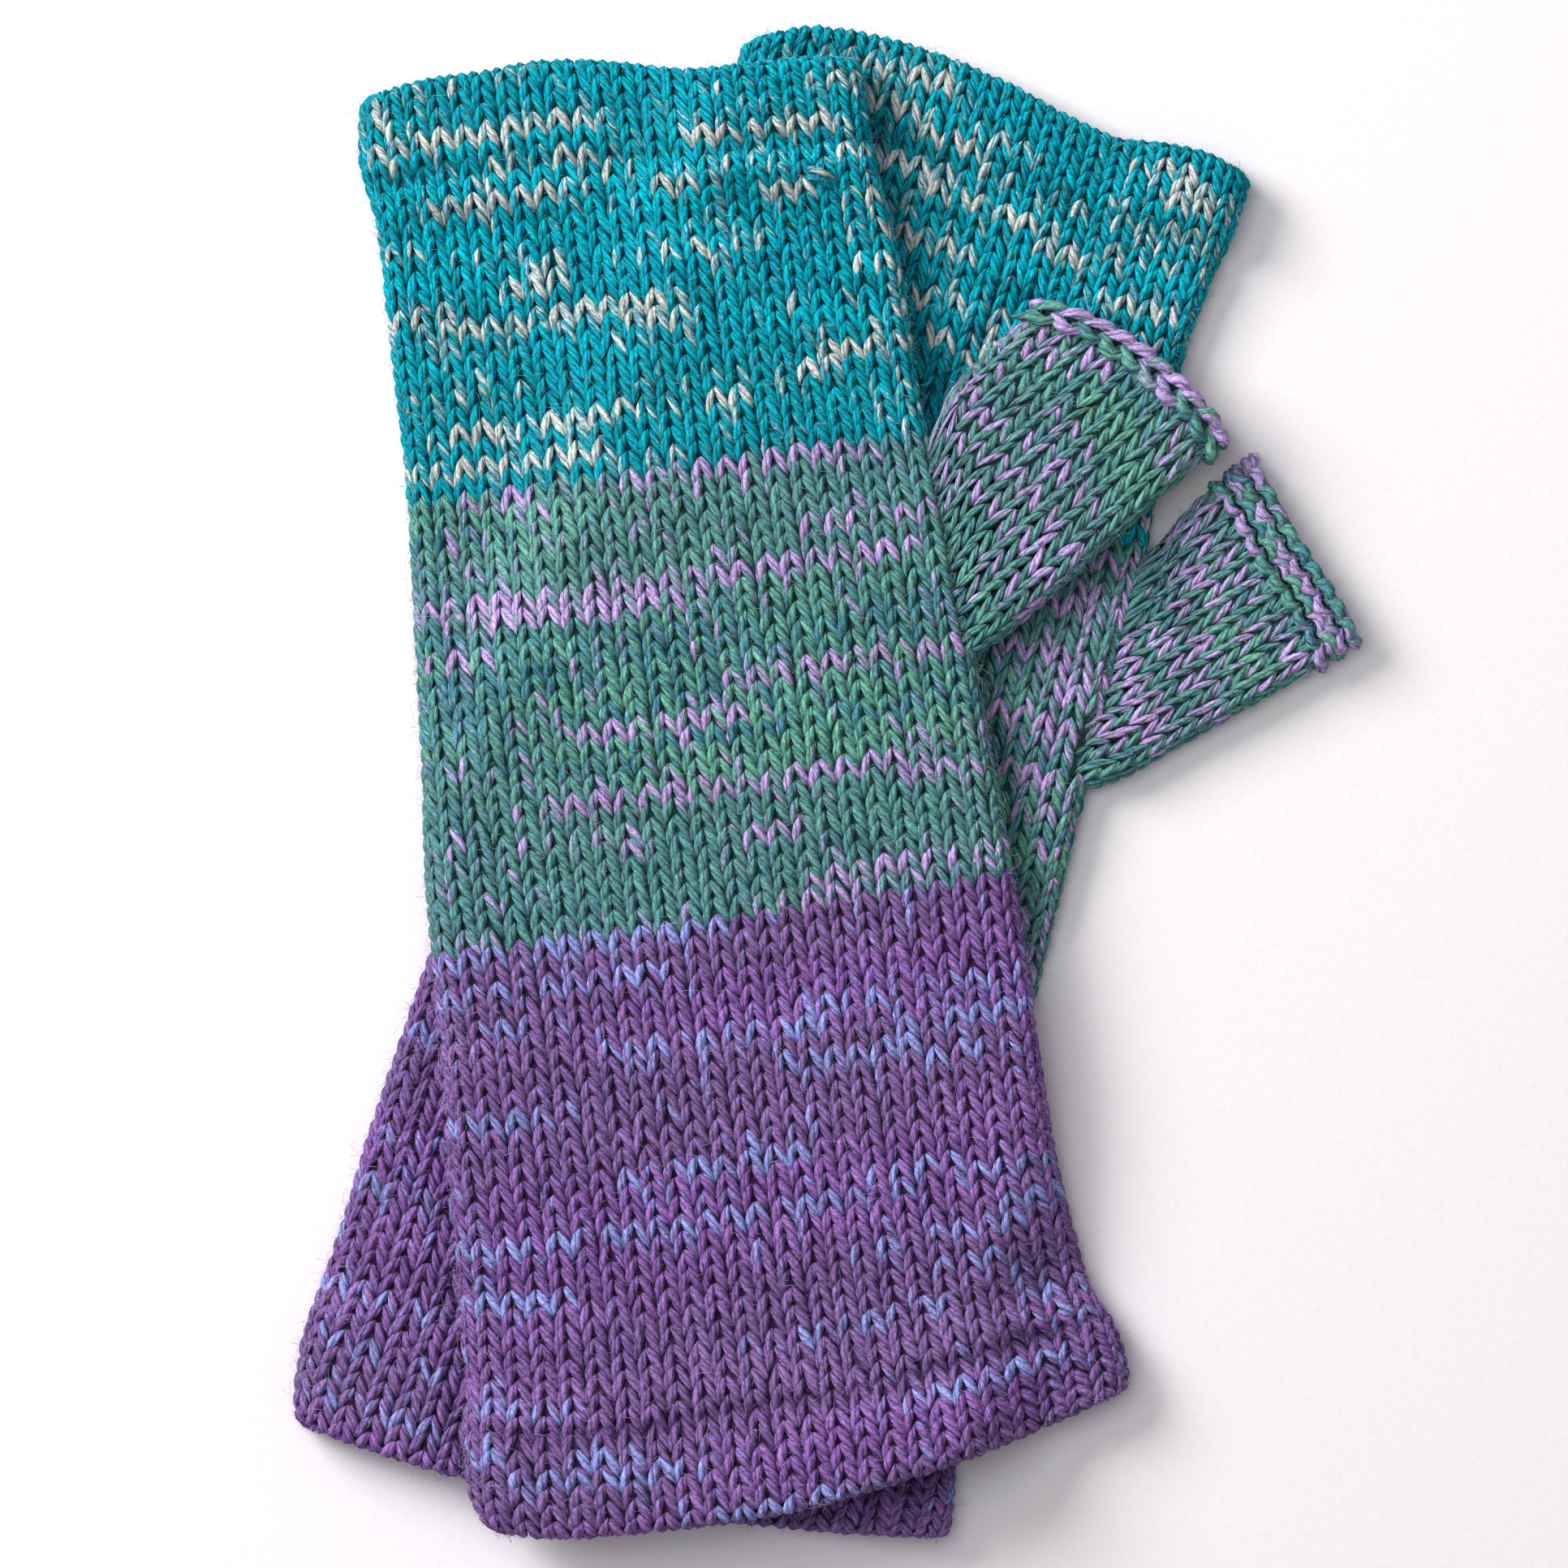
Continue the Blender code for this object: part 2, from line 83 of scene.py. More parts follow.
camera_data = bpy.data.cameras.new("camera")
camera_data.sensor_width = SENSOR
camera_data.lens = SENSOR * (CAMERA_HEIGHT - VIEW_LEVEL) / VIEW_WIDTH
camera = bpy.data.objects.new("camera", camera_data)
camera.location = (-PAIR_MIDDLE[0] * MM, -PAIR_MIDDLE[1] * MM, CAMERA_HEIGHT * MM)
scene.collection.objects.link(camera)
scene.camera = camera
scene.view_settings.view_transform = "Standard"
print("lens, mm:", round(camera_data.lens, 1))

# %% Light
def area_light(name, place, size, power, colour=(1, 1, 1)):
    """A square light of a size in metres, aimed at the middle of the pair."""
    data = bpy.data.lights.new(name, "AREA")
    data.size = size
    data.energy = power
    data.color = colour
    light = bpy.data.objects.new(name, data)
    light.location = place
    light.rotation_euler = (-Vector(place)).to_track_quat("-Z", "Y").to_euler()
    scene.collection.objects.link(light)


area_light("window", (-0.92, 0.70, 0.84), 0.70, 25.0, (1.0, 0.985, 0.98))
area_light("ceiling", (-0.35, 0.25, 1.7), 1.0, 10.0)
world = bpy.data.worlds.new("room")
world.use_nodes = True
world.node_tree.nodes["Background"].inputs["Color"].default_value = (0.97, 0.95, 0.98, 1)
world.node_tree.nodes["Background"].inputs["Strength"].default_value = 0.34
scene.world = world

# %% [markdown]
# ## Meshes from arrays
#
# Every piece here is one mesh that is filled from whole arrays: all its points at once, then all
# its faces. A face list may hold quads and many-sided end caps together, and each corner carries
# its own place on one or more flat maps.

# %% Fill a mesh
made = []


def piece_from(name, points, faces, maps, values, material):
    """One object from arrays: points (n, 3), lists of faces (m, k), maps and point values.

    maps is {map name: a list of corner places (m, k, 2), in step with faces}; values is
    {attribute name: one number for each point}.
    """
    corners = np.concatenate([f.ravel() for f in faces])
    sizes = np.concatenate([np.full(len(f), f.shape[1]) for f in faces])
    mesh = bpy.data.meshes.new(name)
    mesh.vertices.add(len(points))
    mesh.vertices.foreach_set("co", points.astype(np.float32).ravel())
    mesh.loops.add(len(corners))
    mesh.loops.foreach_set("vertex_index", corners.astype(np.int32))
    mesh.polygons.add(len(sizes))
    mesh.polygons.foreach_set("loop_start", (np.cumsum(sizes) - sizes).astype(np.int32))
    mesh.update(calc_edges=True)
    for map_name, places in maps.items():
        layer = mesh.uv_layers.new(name=map_name)
        flat = np.concatenate([p.reshape(-1, 2) for p in places])
        layer.uv.foreach_set("vector", flat.astype(np.float32).ravel())
    for value_name, numbers in values.items():
        attribute = mesh.attributes.new(value_name, "FLOAT", "POINT")
        attribute.data.foreach_set("value", numbers.astype(np.float32))
    mesh.shade_smooth()
    mesh.materials.append(material)
    piece = bpy.data.objects.new(name, mesh)
    scene.collection.objects.link(piece)
    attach(piece, "root")
    triangles = int((sizes - 2).sum())
    made.append((name, triangles))
    print(f"{name}: {triangles} triangles")
    return piece


# %% [markdown]
# ## The shape of a mitten
#
# A mitten's sizes are the solid model's own, in millimetres: across to the right, along from the
# cuff to the fingers, and level above whatever the cloth lies on. The tables give the sides of
# the flattened hand, the bend of its two ends, its soft folds and the sections of the thumb.

# %% Sizes of the cloth
HAND_WALES = 48
THUMB_WALES = 21
LIP = 2.15
BODY_HEIGHT = 6.8
HEM_HEIGHT = 9.6
HEM_DEPTH = 18.0
HEM_FADE = 10.0
THUMB_SWELL = 0.8
THUMB_SWELL_REACH = 34.0
CUFF_BEND_REACH = 45.0
TOP_BEND_REACH = 25.0
BEND_PAST_ENDS = (-40, 20)
LAY_CLEARANCE = 0.6
DRAPE_REACH = 18.0
BRIDGED = 7.0
HEM_CREASE = 2.2
CREASE_REACH = 2.5
CREASE_WANDER = 0.8
HALF_HAND = np.array([50.0, 130.0])
HALF_THUMB = 24.0


def table(columns, rows):
    """A short table as one array for each named column, from rows with commas between them."""
    numbers = [row.split() for row in rows.split(",")]
    return dict(zip(columns.split(), np.array(numbers, float).T))


# %% Tables of both mittens
UPPER_SIDES = table("along left right", """
    0 -56 57, 6 -57.8 57.2, 16 -57.7 55.8, 24 -56.3 52.9, 34 -55.5 51.6, 50 -54.7 50.1,
    66 -53.8 49.7, 90 -52.1 49.5, 114 -51.2 48.9, 134 -49.4 48.1, 152 -47.8 47.7, 170 -46.3 47,
    184 -45.2 44.9, 200 -44.8 44.6, 216 -44.4 44.3, 232 -44.2 42.6, 242 -45.4 42.5, 254 -44 42.6
""")
LOWER_SIDES = table("along left right", """
    0 -57.5 56.6, 6 -59 56.2, 16 -60 54.6, 24 -59.5 52.4, 34 -58.9 50.5, 50 -58.5 49,
    66 -57.6 47.8, 90 -56 46.9, 114 -54 46.3, 134 -52.3 45.7, 152 -50 45.5, 170 -48.5 45,
    184 -47.3 44.7, 200 -46.2 43.2, 216 -45.2 42.1, 232 -44.5 42.7, 246 -45.6 44.6, 259 -45.4 45.2
""")
UPPER_CUFF_EDGE = table("across shift", """
    -56 4.2, -46 1.5, -32 0.4, -14 0, 0 0.6, 14 2.6, 28 5.2, 42 8.4, 56 12.6
""")
LOWER_CUFF_EDGE = table("across shift", """
    -56 1.4, -40 0.2, -20 0, 0 2, 14 3.8, 28 6.2, 42 8.8, 56 12
""")
UPPER_TOP_EDGE = table("across shift", """
    -44 2.4, -34 0.6, -22 0.4, -13 0, 0 1.8, 14 5.3, 24 5.8, 35 6.3, 43 7.8
""")
LOWER_TOP_EDGE = table("across shift", """
    -45 6.4, -36 1.6, -26 0, -14 0, 0 1.7, 14 4.9, 21 5.9, 28 4.9, 36 4.3, 45 6.4
""")
FOLD_COLUMNS = "across along reach_across reach_along rise"
UPPER_FOLDS = table(FOLD_COLUMNS, """
    42 13 20 10 1.5, 34 30 26 5 -0.6, -34 12 22 8 0.5, -16 241 26 8 0.6, 12 246 8 12 -0.7,
    41 222 4 24 0.8
""")
LOWER_FOLDS = table(FOLD_COLUMNS, """
    -48 13 12 9 0.8, 34 249 12 8 1.3, 20 250 5 10 -0.9, 34 238 12 4.5 -1.6
""")
THUMB_COLUMNS = "share far_across far_along near_across near_along lift height bow"
UPPER_THUMB = table(THUMB_COLUMNS, """
    0 44.4 178.4 46.8 141.3 1.5 4.6 0, 0.12 49 186.2 51 143.2 0.7 6.2 0.3,
    0.35 55.8 192.4 60.8 149.2 0 7 1.5, 0.68 60.8 195.8 75.8 159.3 0 7.2 3.4,
    1 64.7 198.4 90.8 169.6 0 7.2 5.4
""")
LOWER_THUMB = table(THUMB_COLUMNS, """
    0 43.5 183.4 44.6 142.9 1.5 4.6 0, 0.12 47 188.4 49.4 145.4 0.7 6.2 0.2,
    0.35 48.4 191.8 58.6 154.2 0 7 0.8, 0.68 49.8 194.4 68.8 164.2 0 7.2 1.4,
    1 51 196.7 78.5 173.9 0 7.2 2
""")
# How wide a column of stitches is on the top face, which the underside makes up for
TOP_WALE = table("along width", """
    0 4.5, 40 4.3, 150 4.27, 200 4.1, 250 4.1
""")

# %% The two mittens
LOWER = SimpleNamespace(
    name="lower", foot=(-29.5, -127.0), turn=radians(-15.3), length=259.0,
    ends=(0.0, 105.0, 187.0, 259.0), rows=(0, 34, 61, 85), slot=(141.7, 185.5),
    sides=LOWER_SIDES, cuff_edge=LOWER_CUFF_EDGE, top_edge=LOWER_TOP_EDGE, folds=LOWER_FOLDS,
    thumb=LOWER_THUMB, lean=radians(39.6), roll=7.4, flare=(3.2, 0.6),
)
UPPER = SimpleNamespace(
    name="upper", foot=(4.9, -125.1), turn=radians(7.9), length=254.0,
    ends=(0.0, 103.6, 182.0, 254.0), rows=(0, 33, 59, 83), slot=(140.0, 180.4),
    sides=UPPER_SIDES, cuff_edge=UPPER_CUFF_EDGE, top_edge=UPPER_TOP_EDGE, folds=UPPER_FOLDS,
    thumb=UPPER_THUMB, lean=radians(55.1), roll=3.3, flare=(0.4, 2.6),
)
for mitten in (LOWER, UPPER):
    mitten.ahead = np.array([sin(mitten.lean), cos(mitten.lean)])
    heights = np.diff(mitten.ends) / np.diff(mitten.rows)
    print(mitten.name, "rows:", mitten.rows[-1], "row heights, mm:", heights.round(2))

# %% [markdown]
# ### From the yarn's own terms to a point
#
# A knitter counts columns of stitches, called wales, and rows. So the surface is a function of
# the wale round the tube, the distance along the cloth, and the height out of it. It follows the
# cloth round the folded edge of each hem, round the side folds, and over the mitten beneath.
# Everything that is knitted below is worked out flat and passed through this one function.

# %% Curves and fades
def fade(x):
    """1 at 0 and below, 0 at 1 and above, and smooth between."""
    x = np.clip(x, 0.0, 1.0)
    return 1 - x * x * (3 - 2 * x)


def curve(at, rows, column):
    """A smooth curve through one column of a table, over its first column.

    Each span is a cubic whose slope at a row is that of the line between the row's neighbours.
    """
    xs, ys = next(iter(rows.values())), rows[column]
    slopes = np.gradient(ys, xs)
    at = np.clip(at, xs[0], xs[-1])
    span = np.clip(np.searchsorted(xs, at) - 1, 0, len(xs) - 2)
    width = xs[span + 1] - xs[span]
    t = (at - xs[span]) / width
    ease = t * t * (3 - 2 * t)
    leave = slopes[span] * width * t * (1 - t) ** 2
    arrive = slopes[span + 1] * width * t * t * (1 - t)
    return ys[span] * (1 - ease) + ys[span + 1] * ease + leave - arrive


def height(mitten, course):
    """Thickness of the flattened hand: thicker at both hems, and a little beside the thumb."""
    at_cuff = fade((course - HEM_DEPTH - 1) / HEM_FADE)
    at_top = fade((mitten.length - course - HEM_DEPTH - 1) / HEM_FADE)
    beside = fade(np.abs(course - sum(mitten.slot) / 2) / THUMB_SWELL_REACH)
    hem = (HEM_HEIGHT - BODY_HEIGHT) * np.maximum(at_cuff, at_top)
    return BODY_HEIGHT + hem + THUMB_SWELL * beside


def relief(mitten, across, course, level):
    """How far the folds lift a point: fully on the upper cloth, and not at all underneath.

    A shallow crease runs across where each turned-in hem ends, and its stitching pulls. The
    lower cloth is also pushed in beside the edges of the upper mitten.
    """
    rise = 0.0
    if mitten is LOWER:
        x, y = to_pair(mitten, across, course + bend(mitten, across, course))
        rise = -read_grid(pressed_grid, x, y)
    for end in (course, mitten.length - course):
        wander = CREASE_WANDER * np.sin(across * 0.13 + mitten.length)
        rise = rise - HEM_CREASE * np.exp(-(((end - HEM_DEPTH + 0.3 - wander) / CREASE_REACH) ** 2))
    for x, y, reach_x, reach_y, top in zip(*mitten.folds.values()):
        rise = rise + top * np.exp(-(((across - x) / reach_x) ** 2) - ((course - y) / reach_y) ** 2)
    return rise * (1 - fade(level / BODY_HEIGHT))


def bend(mitten, across, course):
    """How far a row of stitches is pushed along by the shape of the two ends."""
    course = np.clip(course, BEND_PAST_ENDS[0], mitten.length + BEND_PAST_ENDS[1])
    cuff = curve(across, mitten.cuff_edge, "shift") * np.exp(-course / CUFF_BEND_REACH)
    top = curve(across, mitten.top_edge, "shift")
    return cuff - top * np.exp(-(mitten.length - course) / TOP_BEND_REACH)


# %% [markdown]
# ### One mitten on the other
#
# The upper mitten lies on the lower one and falls to the table beside it. Its edges press a
# little into the cloth beneath, deepest just under the edge. Both are heights over the pair's
# plan, so they are worked out once, as grids.

# %% What the upper mitten lies on
def to_pair(mitten, across, along):
    """A mitten's own plan as places in the pair's plan: a turn about its foot."""
    c, s = cos(mitten.turn), sin(mitten.turn)
    x, y = mitten.foot
    return x + c * across - s * along, y + s * across + c * along


def to_mitten(mitten, x, y):
    """The pair's plan as places in a mitten's own plan: the turn undone."""
    c, s = cos(mitten.turn), sin(mitten.turn)
    dx, dy = x - mitten.foot[0], y - mitten.foot[1]
    return c * dx + s * dy, c * dy - s * dx


def hand_outline(mitten):
    """The flattened hand's outline: up its right side, over the top, down and back."""
    courses = np.linspace(0, mitten.length, 27)
    left = curve(courses, mitten.sides, "left")
    right = curve(courses, mitten.sides, "right")
    top = np.linspace(right[-1], left[-1], 12)[1:-1]
    cuff = np.linspace(left[0], right[0], 12)[1:-1]
    across = np.concatenate([right, top, left[::-1], cuff])
    course = np.concatenate([courses, top * 0 + mitten.length, courses[::-1], cuff * 0])
    return np.stack([across, course + bend(mitten, across, course)], 1)


def thumb_outline(mitten):
    """The thumb's outline, out to the end of its cast-off edge."""
    far = np.stack([mitten.thumb["far_across"], mitten.thumb["far_along"]], 1)
    near = np.stack([mitten.thumb["near_across"], mitten.thumb["near_along"]], 1)
    out = mitten.roll * mitten.ahead
    return np.concatenate([near, [near[-1] + out, far[-1] + out], far[::-1]])


def inset(outline, depth, half):
    """An outline drawn in by about a depth: each point moves to the middle by its share of half."""
    return outline + (outline.mean(axis=0) - outline) * depth / half


def beyond(x, y, outline):
    """Distance outside a closed outline, and 0 inside it."""
    start, end = outline, np.roll(outline, -1, axis=0)
    step = end - start
    point = np.stack([x, y], -1)[..., None, :]
    share = ((point - start) * step).sum(-1) / (step * step).sum(-1)
    nearest = start + np.clip(share, 0, 1)[..., None] * step
    distance = np.sqrt(((point - nearest) ** 2).sum(-1)).min(-1)
    crosses = (start[:, 1] > y[..., None]) != (end[:, 1] > y[..., None])
    rise = np.where(np.abs(step[:, 1]) < 1e-9, 1e-9, step[:, 1])
    at = start[:, 0] + (y[..., None] - start[:, 1]) / rise * step[:, 0]
    inside = (crosses & (x[..., None] < at)).sum(-1) % 2 == 1
    return np.where(inside, 0.0, distance)


EDGE_INSET = 4.0
PRESSED_DEPTH = 2.2
PRESSED_OFF = 0.5
REACH_UNDER = 2.0
REACH_BESIDE = 3.6


def pressed(above, x, y):
    """How deep the cloth beneath is pushed in along the edges of the mitten that lies on it.

    It is a bell over the distance from the upper outline, and wider on the outer side. The
    distance is taken from an outline drawn inside the real one, so that it has both sides.
    """
    place = to_mitten(above, x, y)
    off_hand = beyond(*place, inset(hand_outline(above), EDGE_INSET, HALF_HAND))
    off_thumb = beyond(*place, inset(thumb_outline(above), EDGE_INSET, HALF_THUMB))
    off = np.minimum(off_hand, off_thumb) - EDGE_INSET - PRESSED_OFF
    return PRESSED_DEPTH * np.exp(-((off / np.where(off < 0, REACH_UNDER, REACH_BESIDE)) ** 2))


def bed_height(below, x, y):
    """Height of the lower mitten under a place, with a soft fall to the table beside it."""
    across, along = to_mitten(below, x, y)
    course = along
    for _ in range(5):
        course = along - bend(below, across, course)
    hand = np.max([height(below, course + step) for step in (-BRIDGED, 0, BRIDGED)], axis=0)
    thumb = below.thumb["height"].max()
    over_hand = fade(beyond(across, along, hand_outline(below)) / DRAPE_REACH)
    over_thumb = fade(beyond(across, along, thumb_outline(below)) / DRAPE_REACH)
    return np.maximum((hand + LAY_CLEARANCE) * over_hand, (thumb + LAY_CLEARANCE) * over_thumb)


# %% Both heights as grids, which are quick to read
BED_STEP = 1.0
BED_X = (-105, 115)
BED_Y = (-145, 145)
bed_x, bed_y = np.arange(*BED_X, BED_STEP), np.arange(*BED_Y, BED_STEP)
bed_grid = bed_height(LOWER, *np.meshgrid(bed_x, bed_y))
pressed_grid = pressed(UPPER, *np.meshgrid(bed_x, bed_y))


def between(grid, line, place):
    """A grid's value between the four points nearest to a line and a place along it."""
    b, a = line.astype(int), place.astype(int)
    t, s = line - b, place - a
    low = grid[b, a] * (1 - s) + grid[b, a + 1] * s
    high = grid[b + 1, a] * (1 - s) + grid[b + 1, a + 1] * s
    return low * (1 - t) + high * t


def read_grid(grid, x, y):
    """The value of one of the two grids at a place in the pair's plan."""
    place = np.clip((x - bed_x[0]) / BED_STEP, 0, len(bed_x) - 1.001)
    line = np.clip((y - bed_y[0]) / BED_STEP, 0, len(bed_y) - 1.001)
    return between(grid, line, place)


def laid(mitten, across, along, level):
    """Points of a mitten as they lie, in metres: pressed flat beneath, and on what is under."""
    x, y = to_pair(mitten, across, along)
    z = np.maximum(level, 0) + (read_grid(bed_grid, x, y) if mitten is UPPER else 0)
    return np.stack([x - PAIR_MIDDLE[0], y - PAIR_MIDDLE[1], z + 0 * x], -1) * MM


print("bed, highest point, mm:", bed_grid.max().round(2))

# %% Round a flattened ring
def round_ring(distance, low, high, fold):
    """Where a distance round a flattened ring lies, from the middle of its top.

    It runs flat from low to high, round a half circle of radius fold, and back underneath.
    Gives the place on the flat part, which side it is on (-1 or 1), and the angle round the fold.
    """
    flat = np.clip(distance, low, high)
    past, side = np.abs(distance - flat), np.sign(distance - flat)
    return flat - side * np.maximum(past - pi * fold, 0), side, np.clip(past / fold, 0, pi)


# %% The hand's surface
def turned_in(mitten, course, out):
    """Where cloth lies that turns in at both ends: its place along the hand, and its depth.

    Past a crease the cloth runs round a half circle, and then back along its own inside.
    """
    past_cuff = LIP - course
    past_top = course - (mitten.length - LIP)
    past = np.maximum(past_cuff, past_top)
    angle = np.clip(past / LIP, 0, pi)
    back = np.maximum(past - pi * LIP, 0)
    inwards = np.where(past_cuff > past_top, 1, -1)
    place = np.clip(course, LIP, mitten.length - LIP)
    place = place - inwards * ((LIP + out) * np.sin(angle) - back)
    return place, LIP - (LIP + out) * np.cos(angle)


def ring_size(mitten, place):
    """The flattened hand at a place: both ends of its flat part, its folds' radius, its girth."""
    fold = height(mitten, place) / 2
    low = curve(place, mitten.sides, "left") + fold
    high = curve(place, mitten.sides, "right") - fold
    return low, high, fold, 2 * (high - low) + 2 * pi * fold


def hand_point(mitten, wale, course, out):
    """A point of the hand from its wale, its distance along the cloth and its height out of it.

    Wale 0 is the middle of the top. The distance round the tube is the wale's share of it, made
    a little wider or narrower on the top face.
    """
    place, depth = turned_in(mitten, course, out)
    low, high, fold, girth = ring_size(mitten, place)
    wider = curve(place, TOP_WALE, "width") * HAND_WALES / girth - 1
    turn = wale / HAND_WALES
    distance = girth * (turn + wider * np.sin(2 * pi * turn) / (2 * pi))
    middle, side, angle = round_ring(distance, low, high, fold)
    across = middle + side * np.sin(angle) * (fold - depth)
    level = fold + np.cos(angle) * (fold - depth)
    level = level + relief(mitten, across, place, level)
    return laid(mitten, across, place + bend(mitten, across, place), level)


# %% The thumb's surface
def thumb_plan(mitten, share, over):
    """A place inside the thumb's outline: over runs from -1 at its far side to 1 at its near."""
    thumb = mitten.thumb
    far_x, far_y = curve(share, thumb, "far_across"), curve(share, thumb, "far_along")
    near_x, near_y = curve(share, thumb, "near_across"), curve(share, thumb, "near_along")
    bow = curve(share, thumb, "bow") * (1 - over * over)
    x = (far_x + near_x) / 2 + over * (near_x - far_x) / 2 + bow * mitten.ahead[0]
    y = (far_y + near_y) / 2 + over * (near_y - far_y) / 2 + bow * mitten.ahead[1]
    return x, y


def thumb_reach(mitten, share, over):
    """Distance from a place in the thumb to its tip, along the thumb."""
    x, y = thumb_plan(mitten, share, over)
    tip_x, tip_y = thumb_plan(mitten, 1.0, over)
    return (tip_x - x) * mitten.ahead[0] + (tip_y - y) * mitten.ahead[1]


def tip_width(thumb):
    """Width across the tip of the flattened thumb."""
    across = thumb["near_across"] - thumb["far_across"]
    along = thumb["near_along"] - thumb["far_along"]
    return np.hypot(across, along)[-1]


FLARE_REACH = 12.0


def thumb_point(mitten, wale, ahead, out):
    """A point of the thumb from its wale, its distance beyond the tip and its height out of it.

    ahead is negative on the thumb. The share of the thumb's length at that distance is found by
    a few corrections, and past either end the surface runs straight on. The knitting near the
    tip is stretched a little towards the two corners of the edge, which flare.
    """
    thumb = mitten.thumb
    fold = thumb["height"][-1] / 2
    width = tip_width(thumb)
    flat = width / 2 - fold
    distance = (4 * flat + 2 * pi * fold) * wale / THUMB_WALES
    middle, side, angle = round_ring(distance, -flat, flat, fold)
    over = (middle + side * np.sin(angle) * (fold + out)) * 2 / width
    within = np.clip(over, -1, 1)
    far, near = (np.clip(corner * within - 0.2, 0, 1) / 0.8 for corner in (-1, 1))
    flare = mitten.flare[0] * far + mitten.flare[1] * near
    ahead = ahead + flare * (1 - fade((ahead + FLARE_REACH) / FLARE_REACH))
    whole = thumb_reach(mitten, 0.0, within)
    inside = np.clip(-ahead, 0, whole)
    share = 1 - inside / whole
    for _ in range(4):
        share = np.clip(share + (thumb_reach(mitten, share, within) - inside) / whole, 0, 1)
    x, y = thumb_plan(mitten, share, over)
    further = ahead + inside
    fold = curve(share, thumb, "height") / 2
    level = curve(share, thumb, "lift") + fold + np.cos(angle) * (fold + out)
    x, y = x + further * mitten.ahead[0], y + further * mitten.ahead[1]
    return laid(mitten, x, y, level)


for mitten in (LOWER, UPPER):
    tip = thumb_point(mitten, np.array([0.0]), np.array([0.0]), np.array([0.0]))[0]
    print(mitten.name, "thumb tip, mm:", (tip / MM).round(1))

# %% [markdown]
# ## Materials
#
# The wool is a soft marl of three plies, dyed in two close shades, with a fourth colour that runs
# in for a few stitches at a time and shows as flecks. Each length of yarn carries its own numbers
# for shade, tone and fleck, and a map whose two directions run round the yarn and along it. The
# plies are stripes on that map that lean to the yarn's axis, as the twist does. They colour the
# wool and, through a bump, also shade it; the grooves between them are also painted darker, as
# painted shade, and a fine noise lightens and darkens the colour along the fibres, partly as
# painted highlights. Hairs are a noise that is drawn out along the plies.

# %% Shader maths as Python
class Value:
    """A number that varies over a surface. Plus, minus and times add the nodes for them."""

    def __init__(self, paint, socket):
        self.paint = paint
        self.socket = socket

    def __add__(self, other):
        return self.paint.maths("ADD", self, other)

    def __sub__(self, other):
        return self.paint.maths("SUBTRACT", self, other)

    def __mul__(self, other):
        return self.paint.maths("MULTIPLY", self, other)

    __radd__ = __add__
    __rmul__ = __mul__


class Paint:
    """One material, and the ways to add nodes to it."""

    def __init__(self, name, roughness, sheen):
        self.material = bpy.data.materials.new(name)
        self.material.use_nodes = True
        self.tree = self.material.node_tree
        self.shader = self.tree.nodes["Principled BSDF"]
        self.shader.inputs["Roughness"].default_value = roughness
        self.shader.inputs["Sheen Weight"].default_value = sheen
        self.shader.inputs["Sheen Roughness"].default_value = 0.5
        self.shader.inputs["Specular IOR Level"].default_value = 0.12

    def node(self, kind, settings, inputs, output):
        """Adds a node of any type: its settings, then its sockets' values or links."""
        node = self.tree.nodes.new(kind)
        for setting, value in settings.items():
            setattr(node, setting, value)
        for socket, value in inputs.items():
            self.feed(node.inputs[socket], value)
        return Value(self, node.outputs[output])

    def feed(self, socket, value):
        """Links a value to a socket, or sets the socket's own number or colour."""
        if isinstance(value, Value):
            self.tree.links.new(value.socket, socket)
        else:
            socket.default_value = value

    def maths(self, operation, *numbers):
        return self.node("ShaderNodeMath", {"operation": operation}, dict(enumerate(numbers)), 0)

    def smooth(self, value, start, end):
        """0 where the value is at start, 1 at end, and eased between."""
        inputs = {"Value": value, "From Min": start, "From Max": end}
        settings = {"interpolation_type": "SMOOTHSTEP"}
        return self.node("ShaderNodeMapRange", settings, inputs, "Result")

    def attribute(self, name):
        return self.node("ShaderNodeAttribute", {"attribute_name": name}, {}, "Fac")

    def map(self, name):
        """The two directions of one of the piece's own maps."""
        place = self.node("ShaderNodeUVMap", {"uv_map": name}, {}, "UV")
        return [self.node("ShaderNodeSeparateXYZ", {}, {0: place}, i) for i in (0, 1)]

    def lines(self, scale, width):
        """Thin wandering lines, as of loose hairs: where a soft noise passes its middle value."""
        place = self.node("ShaderNodeTexCoord", {}, {}, "Object")
        inputs = {"Vector": place, "Scale": scale, "Detail": 1.0}
        soft = self.node("ShaderNodeTexNoise", {"noise_dimensions": "4D"}, inputs, "Fac")
        return self.smooth(self.maths("ABSOLUTE", soft - 0.5), width, 0.0)

    def noise(self, x, y, z, detail=2.0):
        """A noise from 0 to 1 that varies about once in each unit of its three numbers."""
        place = self.node("ShaderNodeCombineXYZ", {}, {0: x, 1: y, 2: z}, 0)
        inputs = {"Vector": place, "Scale": 1.0, "Detail": detail}
        return self.node("ShaderNodeTexNoise", {}, inputs, "Fac")

    def mix(self, share, first, second):
        """The first colour where the share is 0, and the second where it is 1."""
        inputs = {0: share, 6: first, 7: second}
        return self.node("ShaderNodeMix", {"data_type": "RGBA"}, inputs, 2)

    def scaled(self, colour, factor):
        """A colour made lighter or darker by a factor."""
        settings = {"operation": "SCALE"}
        return self.node("ShaderNodeVectorMath", settings, {0: colour, 3: factor}, 0)

    def finish(self, colour, raised, distance):
        """Feeds the colour and the raised detail, a height in metres, to the shader."""
        inputs = {"Height": raised, "Distance": distance}
        bump = self.node("ShaderNodeBump", {}, inputs, 0)
        self.feed(self.shader.inputs["Base Color"], colour)
        self.feed(self.shader.inputs["Normal"], bump)
        return self.material


